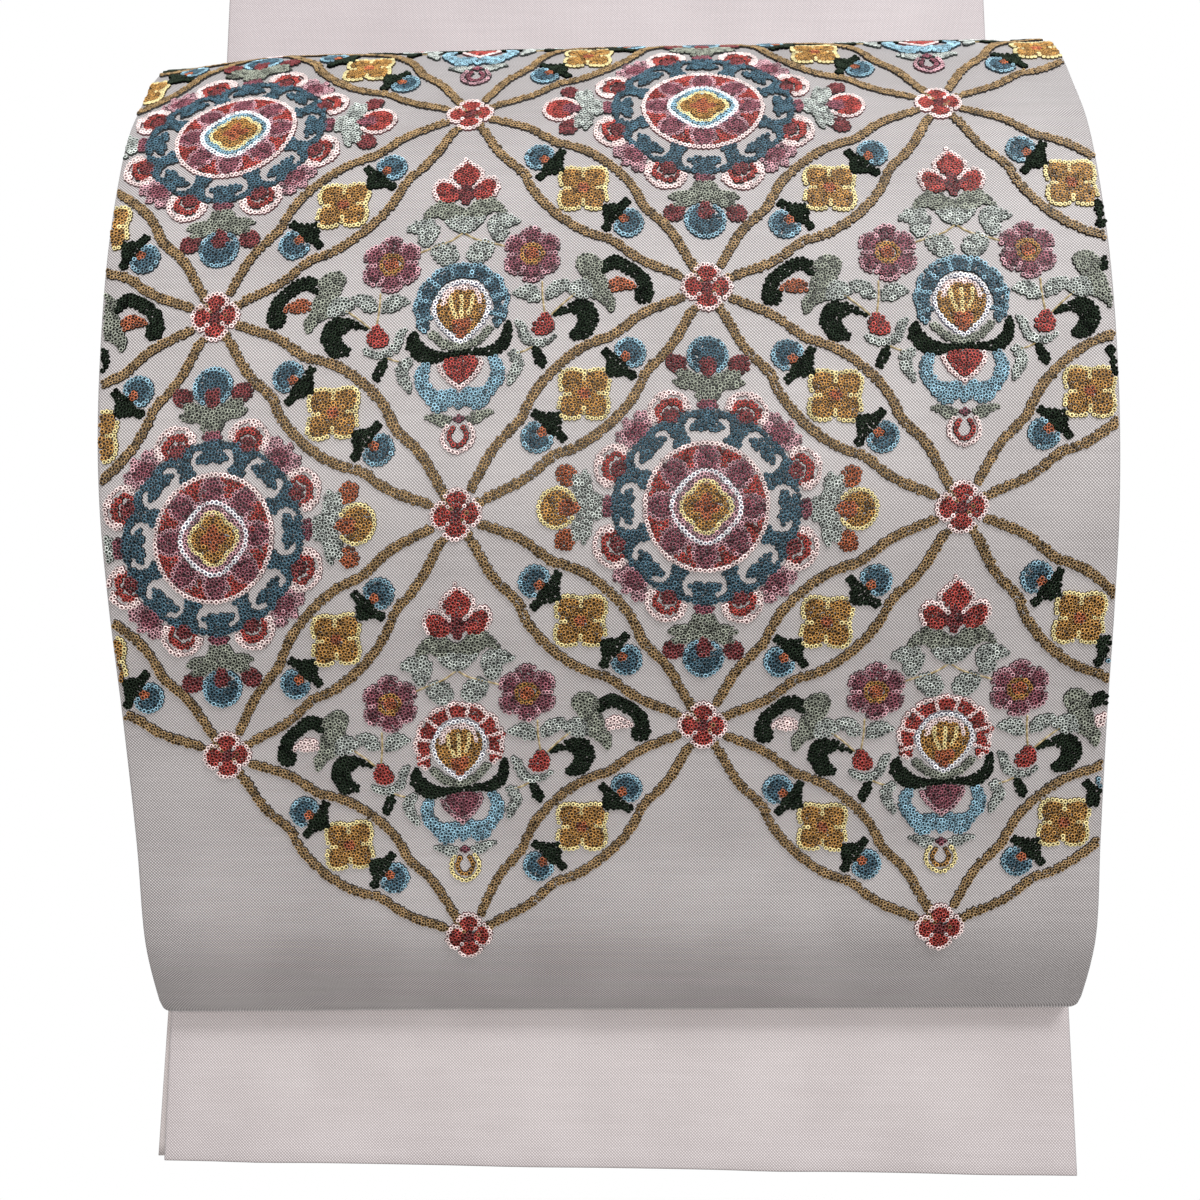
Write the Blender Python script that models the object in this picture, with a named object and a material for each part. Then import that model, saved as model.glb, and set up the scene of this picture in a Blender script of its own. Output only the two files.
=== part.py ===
"""Obi sash set out as a drum bow, hollow, with nobody and no pad inside it.

The sash is one long band of cloth. This script follows it in side view from the tip
of the tail to the far end, as straight legs, round turns and one smooth drum curve,
and cuts that path into stretches, each of which is one closed wall.

Frame: X across the band, Y from the front to the back, Z up. The origin is the centre
of the pad space in the top of the drum. Sizes are in millimetres until a mesh is made.
"""

import math

import bmesh
import bpy

METRES = 0.001

# Band
WIDTH = 310.0
WALL = 1.8
SEAM_GAP = 0.3
FOLD_PITCH = 4.4

# Depths (Y) of the legs that hang straight, at the middle of the wall
TURN_UP_Y = 36.0
TAIL_Y = TURN_UP_Y + FOLD_PITCH
RISING_Y = 68.9
DRUM_BACK_Y = RISING_Y - FOLD_PITCH

# Heights (Z)
TAIL_TIP_Z = -326.3
TAIL_TOP_Z = -47.2
DRUM_FOLD_Z = -268.0
DRUM_BACK_TOP_Z = -8.0
DRUM_BACK_END_Z = -110.0
BAR_Z = 186.0
PASS_LOW_Z = -322.0
PASS_HIGH_Z = 187.0
FAR_END_Z = 181.0

# Turns
DRUM_FOLD_RADIUS = 4.0
DRUM_FOLD_SWEEP = math.radians(-135.0)
BAR_TURN_RADIUS = 9.0
PASS_TURNS = 3
ARC_STEPS = 8
DRUM_STEPS = 3

# Drum outline, from the lower sweep over the crown to the nape
DRUM_OUTLINE = (
    # place, depth Y, height Z
    ("lower sweep", 10.0, -247.5),
    ("lower front", -1.0, -215.5),
    ("lower taper", -15.5, -178.0),
    ("upper taper", -30.5, -143.0),
    ("under bulge", -41.0, -112.5),
    ("bulge", -46.0, -78.0),
    ("over bulge", -45.0, -36.0),
    ("shoulder", -36.5, 4.0),
    ("upper shoulder", -24.5, 29.0),
    ("brow", -7.5, 52.5),
    ("crown", 21.0, 66.8),
    ("behind crown", 45.5, 57.5),
    ("nape", 60.5, 29.0),
)
CROWN_Z = 66.8

# The drum isn't quite square: its crown leans, one corner drops and its foot drifts and leans
CROWN_LEAN = 3.9
CROWN_LEAN_FROM_Z = -60.0
CORNER_DROP = 4.3
CORNER_START = 0.7
FOOT_DRIFT = 4.2
FOOT_LEAN = 0.8
FOOT_FROM_Z = -90.0
TIP_SLOPE = 2.5
TIP_SLOPE_FROM_Z = -285.0

# Second ply of the tail, hanging a little askew behind the first
BACKING_WALL = 1.0
BACKING_TOP_Z = -205.0
BACKING_TIP_Z = -322.5
BACKING_SWING = 2.6

# Stretches are cut this far past a turn, and walls have this many panels across
CUT_PAST_TURN = 10.0
COLUMNS = 10

SILK = (0.69, 0.64, 0.62)
BACKING_SILK = (0.62, 0.57, 0.56)
SILK_ROUGHNESS = 0.6


def clear_scene():
    """Remove every object, so that the sash is alone."""
    for item in list(bpy.data.objects):
        bpy.data.objects.remove(item, do_unlink=True)


def ease(value, start, end):
    """Smooth step from 0 at start to 1 at end."""
    t = min(max((value - start) / (end - start), 0.0), 1.0)
    return t * t * (3.0 - 2.0 * t)


def arc(centre_y, centre_z, radius, start, sweep):
    """Points (y, z) of a turn, without its first one."""
    angles = [start + sweep * step / ARC_STEPS for step in range(1, ARC_STEPS + 1)]
    return [(centre_y + radius * math.cos(a), centre_z + radius * math.sin(a)) for a in angles]


def smooth_curve(points):
    """Catmull-Rom points from points[1] to points[-2], without the first one."""
    curve = []
    for corners in zip(points, points[1:], points[2:], points[3:]):
        for step in range(1, DRUM_STEPS + 1):
            t = step / DRUM_STEPS
            weights = (
                (-t + 2.0 * t**2 - t**3) / 2.0,
                (2.0 - 5.0 * t**2 + 3.0 * t**3) / 2.0,
                (t + 4.0 * t**2 - 3.0 * t**3) / 2.0,
                (-(t**2) + t**3) / 2.0,
            )
            curve.append(tuple(sum(w * c[axis] for w, c in zip(weights, corners)) for axis in (0, 1)))
    return curve


def distances(path):
    """Distance along the path at each of its points."""
    walked = [0.0]
    for a, b in zip(path, path[1:]):
        walked.append(walked[-1] + math.dist(a, b))
    return walked


def sash_path():
    """The whole band in side view as (y, z) points, and the distance at which each leg begins."""
    half_turn = math.pi
    small = FOLD_PITCH / 2
    legs = {}
    path = [(TAIL_Y, TAIL_TIP_Z)]
    path.append((TAIL_Y, (TAIL_TIP_Z + TIP_SLOPE_FROM_Z) / 2))
    path.append((TAIL_Y, TIP_SLOPE_FROM_Z))
    path.append((TAIL_Y, TAIL_TOP_Z))
    path += arc(TURN_UP_Y + small, TAIL_TOP_Z, small, 0.0, half_turn)
    legs["turn_up"] = distances(path)[-1]
    path.append((TURN_UP_Y, DRUM_FOLD_Z))
    legs["drum_fold"] = distances(path)[-1]
    path += arc(TURN_UP_Y - DRUM_FOLD_RADIUS, DRUM_FOLD_Z, DRUM_FOLD_RADIUS, 0.0, DRUM_FOLD_SWEEP)
    outline = [(y, z) for _place, y, z in DRUM_OUTLINE]
    back = [(DRUM_BACK_Y, DRUM_BACK_TOP_Z), (DRUM_BACK_Y, DRUM_BACK_END_Z)]
    path += smooth_curve(path[-2:] + outline + back)
    legs["drum_back"] = distances(path)[-1]
    path.append((DRUM_BACK_Y, DRUM_BACK_END_Z))
    path += arc(DRUM_BACK_Y + small, DRUM_BACK_END_Z, small, half_turn, half_turn)
    legs["rising"] = distances(path)[-1]
    path.append((RISING_Y, BAR_Z))
    path += arc(RISING_Y + BAR_TURN_RADIUS, BAR_Z, BAR_TURN_RADIUS, half_turn, -half_turn)
    legs["pass_1"] = distances(path)[-1]
    leg_y = RISING_Y + 2 * BAR_TURN_RADIUS
    for turn in range(1, PASS_TURNS + 1):
        goes_down = turn % 2 == 1
        turn_z = PASS_LOW_Z if goes_down else PASS_HIGH_Z
        path.append((leg_y, turn_z))
        path += arc(leg_y + small, turn_z, small, half_turn, half_turn if goes_down else -half_turn)
        leg_y += FOLD_PITCH
        legs[f"pass_{turn + 1}"] = distances(path)[-1]
    path.append((leg_y, FAR_END_Z))
    legs["end"] = distances(path)[-1]
    return path, legs


def point_at(path, walked, distance):
    """The (y, z) point of the path at a distance along it."""
    for index in range(1, len(path)):
        if walked[index] >= distance:
            break
    share = (distance - walked[index - 1]) / (walked[index] - walked[index - 1])
    return tuple(a + share * (b - a) for a, b in zip(path[index - 1], path[index]))


def stretch(path, start, end):
    """The path's points between two distances, with both ends."""
    walked = distances(path)
    inner = [point for point, at in zip(path, walked) if start + 0.5 < at < end - 0.5]
    return [point_at(path, walked, start), *inner, point_at(path, walked, end)]


def drum_back_place(across, y, z):
    """A point behind the drum, with the crown's lean and drop; across runs from -1 to 1."""
    crown = ease(z, CROWN_LEAN_FROM_Z, CROWN_Z)
    drop = CORNER_DROP * ease(-across, CORNER_START, 1.0)
    return across * WIDTH / 2, y, z + crown * (CROWN_LEAN * across - drop)


def drum_place(across, y, z):
    """A point of the drum, whose foot drifts sideways and leans too."""
    foot = ease(-z, -FOOT_FROM_Z, -DRUM_FOLD_Z)
    x, y, z = drum_back_place(across, y, z)
    return x + foot * FOOT_DRIFT, y, z + foot * FOOT_LEAN * across


def tail_place(across, y, z):
    """A point of the tail, whose tip slopes."""
    slope = TIP_SLOPE * across * ease(-z, -TIP_SLOPE_FROM_Z, -TAIL_TIP_Z)
    return across * WIDTH / 2 + FOOT_DRIFT, y, z - slope


def backing_place(across, y, z):
    """A point of the tail's second ply, which swings out at the low left."""
    swing = BACKING_SWING * (BACKING_TOP_Z - z) / (BACKING_TOP_Z - BACKING_TIP_Z)
    return across * WIDTH / 2 + FOOT_DRIFT - swing, y, z


def straight_place(across, y, z):
    """A point of a leg that hangs square."""
    return across * WIDTH / 2, y, z


def turned_up_place(across, y, z):
    """A point of the cloth turned up in the drum, which leans with the drum's foot."""
    foot = ease(-z, -FOOT_FROM_Z, -DRUM_FOLD_Z)
    return across * WIDTH / 2 + FOOT_DRIFT, y, z + foot * FOOT_LEAN * across


def silk(name, colour):
    """A soft, slightly glossy woven silk."""
    material = bpy.data.materials.new(name)
    material.use_nodes = True
    shader = material.node_tree.nodes["Principled BSDF"]
    shader.inputs["Base Color"].default_value = (*colour, 1.0)
    shader.inputs["Roughness"].default_value = SILK_ROUGHNESS
    shader.inputs["Metallic"].default_value = 0.0
    return material


def wall(name, points, place, colour, thickness=WALL):
    """One closed wall of cloth along a stretch of the path."""
    mesh = bpy.data.meshes.new(name)
    grid = bmesh.new()
    rows = []
    for y, z in points:
        row = []
        for column in range(COLUMNS + 1):
            x, py, pz = place(2.0 * column / COLUMNS - 1.0, y, z)
            row.append(grid.verts.new((x * METRES, py * METRES, pz * METRES)))
        rows.append(row)
    for low, high in zip(rows, rows[1:]):
        for column in range(COLUMNS):
            grid.faces.new((low[column], low[column + 1], high[column + 1], high[column]))
    grid.to_mesh(mesh)
    grid.free()
    mesh.materials.append(silk(f"{name}_silk", colour))
    piece = bpy.data.objects.new(name, mesh)
    bpy.context.scene.collection.objects.link(piece)
    solidify = piece.modifiers.new("Wall", "SOLIDIFY")
    solidify.thickness = thickness * METRES
    solidify.offset = 0.0
    solidify.use_even_offset = True
    return piece


def build_sash():
    """Cut the path into its stretches and make each one."""
    path, legs = sash_path()
    gap = SEAM_GAP / 2
    turn_up_cut = legs["turn_up"] + CUT_PAST_TURN
    drum_cut = legs["drum_fold"] - CUT_PAST_TURN
    back_cut = legs["drum_back"] + CUT_PAST_TURN
    rising_cut = legs["rising"] + CUT_PAST_TURN
    pass_cuts = [legs[f"pass_{number}"] + CUT_PAST_TURN for number in range(1, PASS_TURNS + 2)]
    wall("tail", stretch(path, 0.0, turn_up_cut - gap), tail_place, SILK)
    wall("turn_up", stretch(path, turn_up_cut + gap, drum_cut - gap), turned_up_place, SILK)
    wall("drum", stretch(path, drum_cut + gap, back_cut - gap), drum_place, SILK)
    wall("drum_back", stretch(path, back_cut + gap, rising_cut - gap), drum_back_place, SILK)
    wall("rising_band", stretch(path, rising_cut + gap, pass_cuts[0] - gap), straight_place, SILK)
    ends = [*pass_cuts[1:], legs["end"] + gap]
    for number, (start, end) in enumerate(zip(pass_cuts, ends), start=1):
        wall(f"folded_pass_{number}", stretch(path, start + gap, end - gap), straight_place, SILK)
    backing_y = TAIL_Y + WALL / 2 + SEAM_GAP + BACKING_WALL / 2
    backing = [(backing_y, BACKING_TIP_Z), (backing_y, BACKING_TOP_Z)]
    wall("tail_backing", backing, backing_place, BACKING_SILK, BACKING_WALL)


clear_scene()
build_sash()
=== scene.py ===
"""Looks of an obi sash set out as a hollow drum bow, in silk with knotted silk embroidery.

The band is followed in side view from the tip of its tail to its far end, and each stretch
becomes a thin cloth shell on its solid. The embroidery is drawn flat on the band, knot by
knot, and carried onto the same surface. Drawing sizes are in millimetres.
"""

import logging
import math
from dataclasses import dataclass, field
from enum import Enum
from typing import Callable, Optional, Sequence

import bpy
import numpy as np
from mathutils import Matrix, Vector


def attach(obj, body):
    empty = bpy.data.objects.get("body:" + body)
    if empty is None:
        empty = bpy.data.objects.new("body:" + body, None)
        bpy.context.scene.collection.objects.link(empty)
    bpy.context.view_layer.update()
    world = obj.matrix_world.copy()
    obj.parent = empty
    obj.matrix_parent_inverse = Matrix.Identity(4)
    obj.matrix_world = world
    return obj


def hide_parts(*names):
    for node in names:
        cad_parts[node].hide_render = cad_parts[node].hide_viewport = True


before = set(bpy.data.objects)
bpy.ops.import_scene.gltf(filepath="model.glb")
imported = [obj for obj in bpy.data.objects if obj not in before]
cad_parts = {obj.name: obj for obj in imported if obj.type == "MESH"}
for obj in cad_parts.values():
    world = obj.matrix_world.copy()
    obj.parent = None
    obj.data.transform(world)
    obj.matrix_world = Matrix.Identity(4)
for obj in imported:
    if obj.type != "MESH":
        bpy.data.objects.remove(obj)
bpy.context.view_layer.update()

LOG = logging.getLogger("obi")
MM = 0.001
Array = np.ndarray


def linear(colour: str) -> tuple[float, float, float, float]:
    """Turn an sRGB hex colour into the linear values that a shader takes.

    Args:
        colour: Six hex digits after a hash sign.

    Returns:
        Red, green, blue and an alpha of 1.
    """
    values = []
    for start in (1, 3, 5):
        value = int(colour[start : start + 2], 16) / 255.0
        values.append(value / 12.92 if value <= 0.04045 else ((value + 0.055) / 1.055) ** 2.4)
    return values[0], values[1], values[2], 1.0


def ease(value: Array, start: float, end: float) -> Array:
    """Smooth step from 0 at start to 1 at end.

    Args:
        value: Numbers to grade.
        start: Where the step begins.
        end: Where it ends.

    Returns:
        The graded numbers.
    """
    t = np.clip((np.asarray(value, dtype=float) - start) / (end - start), 0.0, 1.0)
    return t * t * (3.0 - 2.0 * t)


# ---------------------------------------------------------------- the band's path


class Stretch(Enum):
    """The stretches of the band, each with its own way of hanging."""

    TAIL = "tail"
    BACKING = "tail_backing"
    TURN_UP = "turn_up"
    DRUM = "drum"
    DRUM_BACK = "drum_back"
    STRAIGHT = "straight"


@dataclass(frozen=True)
class Crease:
    """A soft trough or ridge pressed into the drum.

    across runs from -1 to 1, up is the distance from the crown line (negative in front),
    run and spread are its half length and half width, lift its height, turn its angle.
    """

    across: float
    up: float
    run: float
    spread: float
    lift: float
    turn: float


CREASES = (
    Crease(-0.86, -205.0, 60.0, 9.0, -0.7, 80.0),
    Crease(-0.60, -325.0, 46.0, 12.0, 0.6, 64.0),
    Crease(0.90, -150.0, 52.0, 8.0, -0.6, 96.0),
    Crease(0.72, -300.0, 70.0, 14.0, 0.7, 108.0),
    Crease(0.15, -378.0, 95.0, 7.0, 0.5, 3.0),
    Crease(-0.35, -386.0, 80.0, 6.0, -0.4, -2.0),
    Crease(-0.93, -60.0, 34.0, 9.0, 0.8, 70.0),
    Crease(0.95, -45.0, 38.0, 10.0, -0.7, 104.0),
    Crease(0.05, -30.0, 120.0, 11.0, 0.5, 1.0),
    Crease(0.40, 70.0, 60.0, 9.0, -0.8, 20.0),
    Crease(-0.50, 60.0, 55.0, 10.0, 0.8, -28.0),
)


# Soft waves of the free end of the tail; up is the distance from its tip
TAIL_WAVES = (
    Crease(-0.78, 8.0, 46.0, 13.0, 1.1, 84.0),
    Crease(-0.22, 4.0, 44.0, 19.0, 0.9, 97.0),
    Crease(0.34, 10.0, 48.0, 15.0, 1.3, 88.0),
    Crease(0.80, 2.0, 42.0, 16.0, 1.0, 94.0),
)


@dataclass
class SashPath:
    """The middle of the band's wall in side view, and how each stretch hangs across."""

    width: float = 310.0
    wall: float = 1.8
    pitch: float = 4.4
    turn_up_y: float = 36.0
    rising_y: float = 68.9
    tip_z: float = -326.3
    tail_top_z: float = -47.2
    fold_z: float = -268.0
    fold_radius: float = 4.0
    corner_round: float = 3.0
    back_top_z: float = -8.0
    back_end_z: float = -110.0
    bar_z: float = 186.0
    bar_radius: float = 9.0
    pass_low_z: float = -322.0
    pass_high_z: float = 187.0
    far_end_z: float = 181.0
    pass_turns: int = 3
    crown_z: float = 66.8
    drum_outline: tuple[tuple[str, float, float], ...] = (
        ("lower sweep", 10.0, -247.5),
        ("lower front", -1.0, -215.5),
        ("lower taper", -15.5, -178.0),
        ("upper taper", -30.5, -143.0),
        ("under bulge", -41.0, -112.5),
        ("bulge", -46.0, -78.0),
        ("over bulge", -45.0, -36.0),
        ("shoulder", -36.5, 4.0),
        ("upper shoulder", -24.5, 29.0),
        ("brow", -7.5, 52.5),
        ("crown", 21.0, 66.8),
        ("behind crown", 45.5, 57.5),
        ("nape", 60.5, 29.0),
    )
    crown_lean: float = 3.9
    crown_lean_from_z: float = -60.0
    corner_drop: float = 4.3
    corner_start: float = 0.7
    foot_drift: float = 4.2
    foot_lean: float = 0.8
    foot_from_z: float = -90.0
    tip_slope: float = 2.5
    tip_slope_from_z: float = -285.0
    backing_top_z: float = -205.0
    backing_tip_z: float = -322.5
    backing_swing: float = 2.6
    legs: dict[str, float] = field(default_factory=dict)

    def __post_init__(self) -> None:
        """Trace the path and note where each leg begins."""
        tail_y = self.turn_up_y + self.pitch
        back_y = self.rising_y - self.pitch
        small = self.pitch / 2
        points = [(tail_y, self.tip_z), (tail_y, self.tail_top_z)]
        points += self._arc(self.turn_up_y + small, self.tail_top_z, small, 0.0, math.pi)
        self.legs["turn_up"] = self._length(points)
        points.append((self.turn_up_y, self.fold_z))
        self.legs["drum_fold"] = self._length(points)
        fold_y = self.turn_up_y - self.fold_radius
        points += self._arc(fold_y, self.fold_z, self.fold_radius, 0.0, math.radians(-135.0))
        outline = [(y, z) for _place, y, z in self.drum_outline]
        back = [(back_y, self.back_top_z), (back_y, self.back_end_z)]
        # The curve starts from the coarse last chord of the fold, as its solid does
        chord = self._arc(fold_y, self.fold_z, self.fold_radius, 0.0, math.radians(-135.0), 8)[-2:]
        points += self._curve(chord + outline + back)
        self.legs["drum_back"] = self._length(points)
        points.append((back_y, self.back_end_z))
        points += self._arc(back_y + small, self.back_end_z, small, math.pi, math.pi)
        self.legs["rising"] = self._length(points)
        points.append((self.rising_y, self.bar_z))
        points += self._arc(
            self.rising_y + self.bar_radius, self.bar_z, self.bar_radius, math.pi, -math.pi
        )
        self.legs["pass_1"] = self._length(points)
        leg_y = self.rising_y + 2 * self.bar_radius
        for turn in range(1, self.pass_turns + 1):
            down = turn % 2 == 1
            turn_z = self.pass_low_z if down else self.pass_high_z
            points.append((leg_y, turn_z))
            points += self._arc(leg_y + small, turn_z, small, math.pi, math.pi if down else -math.pi)
            leg_y += self.pitch
            self.legs[f"pass_{turn + 1}"] = self._length(points)
        points.append((leg_y, self.far_end_z))
        self.legs["end"] = self._length(points)
        self._points = np.array(points)
        steps = np.linalg.norm(np.diff(self._points, axis=0), axis=1)
        self._walked = np.concatenate([[0.0], np.cumsum(steps)])
        top = int(
            np.argmax(self._points[:, 1] * (np.abs(self._walked - self.legs["drum_back"]) < 300.0))
        )
        self.crown = float(self._walked[top])

    @staticmethod
    def _length(points: Sequence[tuple[float, float]]) -> float:
        """Length of a path of points."""
        return sum(math.dist(a, b) for a, b in zip(points, points[1:]))

    @staticmethod
    def _arc(y: float, z: float, radius: float, start: float, sweep: float, steps: int = 20) -> list:
        """Points of a turn about (y, z), without its first one."""
        angles = [start + sweep * step / steps for step in range(1, steps + 1)]
        return [(y + radius * math.cos(a), z + radius * math.sin(a)) for a in angles]

    @staticmethod
    def _curve(points: Sequence[tuple[float, float]], steps: int = 24) -> list:
        """Catmull-Rom points from points[1] to points[-2], without the first one.

        Args:
            points: Control points, one more at each end than the curve runs through.
            steps: Points on each span.

        Returns:
            The curve's points.
        """
        curve = []
        for corners in zip(points, points[1:], points[2:], points[3:]):
            for step in range(1, steps + 1):
                t = step / steps
                weights = (
                    (-t + 2.0 * t**2 - t**3) / 2.0,
                    (2.0 - 5.0 * t**2 + 3.0 * t**3) / 2.0,
                    (t + 4.0 * t**2 - 3.0 * t**3) / 2.0,
                    (-(t**2) + t**3) / 2.0,
                )
                curve.append(
                    tuple(sum(w * c[axis] for w, c in zip(weights, corners)) for axis in (0, 1))
                )
        return curve

    def stations(self, start: float, end: float, step_mm: float, turn: float = 0.21) -> list[float]:
        """Distances along the band that follow its turns.

        Args:
            start: First distance.
            end: Last distance.
            step_mm: Widest step.
            turn: Most that the path may turn between two of them, in radians.

        Returns:
            The distances, start and end among them.
        """
        fine = np.linspace(start, end, math.ceil((end - start) / 0.2) + 1)
        y = np.interp(fine, self._walked, self._points[:, 0])
        z = np.interp(fine, self._walked, self._points[:, 1])
        heading = np.unwrap(np.arctan2(np.gradient(z), np.gradient(y)))
        kept = [0]
        for index in range(1, len(fine) - 1):
            far = fine[index] - fine[kept[-1]] >= step_mm
            if far or abs(heading[index] - heading[kept[-1]]) > turn:
                kept.append(index)
        if end - fine[kept[-1]] < 0.15 * step_mm and len(kept) > 1:
            kept.pop()
        return [float(fine[index]) for index in kept] + [end]

    def _relief(self, creases: Sequence[Crease], across: Array, distance: Array) -> Array:
        """Height of some creases at places whose distance is from the line they are laid out from.

        Args:
            creases: The creases to add up.
            across: Places across the band, from -1 to 1.
            distance: Distances from the line that the creases are laid out from.

        Returns:
            The heights in millimetres.
        """
        height = np.zeros(np.broadcast(across, distance).shape)
        for crease in creases:
            turn = math.radians(crease.turn)
            u = (across - crease.across) * self.width / 2
            v = distance - crease.up
            along = (u * math.cos(turn) + v * math.sin(turn)) / crease.run
            over = (v * math.cos(turn) - u * math.sin(turn)) / crease.spread
            height = height + crease.lift * np.exp(-(along**2) * 1.4 - over**2)
        return height

    def _middle(self, stretch: Stretch, across: Array, distance: Array) -> Array:
        """Points of the wall's middle, in millimetres, before its creases.

        Args:
            stretch: Which stretch of the band.
            across: Place across the band, from -1 to 1.
            distance: Place along the band from the tail's tip.

        Returns:
            Points with a last axis of three.
        """
        across, distance = np.broadcast_arrays(across, distance)
        x = across * self.width / 2
        y = np.interp(distance, self._walked, self._points[:, 0])
        z = np.interp(distance, self._walked, self._points[:, 1])
        foot = ease(-z, -self.foot_from_z, -self.fold_z)
        if stretch in (Stretch.DRUM, Stretch.TURN_UP):
            low = np.clip(
                (self.fold_z - self.fold_radius + self.corner_round - z) / self.corner_round, 0.0, 1.0
            )
            x = x - across * self.corner_round * (1.0 - np.sqrt(1.0 - 0.98 * low**2))
        if stretch in (Stretch.DRUM, Stretch.DRUM_BACK):
            crown = ease(z, self.crown_lean_from_z, self.crown_z)
            drop = self.corner_drop * ease(-across, self.corner_start, 1.0)
            z = z + crown * (self.crown_lean * across - drop)
        if stretch is Stretch.DRUM:
            x = x + foot * self.foot_drift
            z = z + foot * self.foot_lean * across
        if stretch is Stretch.TURN_UP:
            x = x + self.foot_drift
            z = z + foot * self.foot_lean * across
        if stretch is Stretch.TAIL:
            x = x + self.foot_drift
            z = z - self.tip_slope * across * ease(-z, -self.tip_slope_from_z, -self.tip_z)
        if stretch is Stretch.BACKING:
            share = (self.backing_top_z - z) / (self.backing_top_z - self.backing_tip_z)
            x = x + self.foot_drift - self.backing_swing * share
            y = y + self.wall / 2 + 0.8
        return np.stack([x, y, z], axis=-1)

    def surface(
        self, stretch: Stretch, across: Array, distance: Array, lift: Array
    ) -> tuple[Array, Array]:
        """Points of the cloth and its outward directions.

        Args:
            stretch: Which stretch of the band.
            across: Place across the band, from -1 to 1.
            distance: Place along the band from the tail's tip.
            lift: Height above the middle of the wall, outwards.

        Returns:
            Points in millimetres and unit directions, both with a last axis of three.
        """
        step = 0.4
        along = self._middle(
            stretch, across, distance + step
        ) - self._middle(stretch, across, distance - step)
        side = self._middle(
            stretch, across + 0.01, distance
        ) - self._middle(stretch, across - 0.01, distance)
        normal = np.cross(side, along)
        normal /= np.linalg.norm(normal, axis=-1, keepdims=True)
        height = lift
        if stretch is Stretch.DRUM:
            height = lift + self._relief(CREASES, across, distance - self.crown)
        if stretch is Stretch.TAIL:
            free = 1.0 - ease(distance, 30.0, 56.0)
            height = lift + free * self._relief(TAIL_WAVES, across, distance)
        return self._middle(stretch, across, distance) + normal * np.asarray(height)[..., None], normal


# ---------------------------------------------------------------- finishes


def add_node(tree: bpy.types.NodeTree, kind: str, settings: dict, links: dict) -> bpy.types.Node:
    """Add a shader node.

    Args:
        tree: The material's or world's node tree.
        kind: The node's type name.
        settings: Attribute names, or input names and numbers, with their values.
        links: Input names or numbers with the output sockets that feed them.

    Returns:
        The new node.
    """
    node = tree.nodes.new(kind)
    for key, value in settings.items():
        if isinstance(key, str) and hasattr(node, key):
            setattr(node, key, value)
        else:
            node.inputs[key].default_value = value
    for key, socket in links.items():
        tree.links.new(socket, node.inputs[key])
    return node


def new_material(name: str) -> tuple[bpy.types.Material, bpy.types.NodeTree, bpy.types.Node]:
    """Make an empty node material with its output.

    Args:
        name: The material's name.

    Returns:
        The material, its tree and its output node.
    """
    material = bpy.data.materials.new(name)
    material.use_nodes = True
    tree = material.node_tree
    tree.nodes.clear()
    return material, tree, tree.nodes.new("ShaderNodeOutputMaterial")


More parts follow.
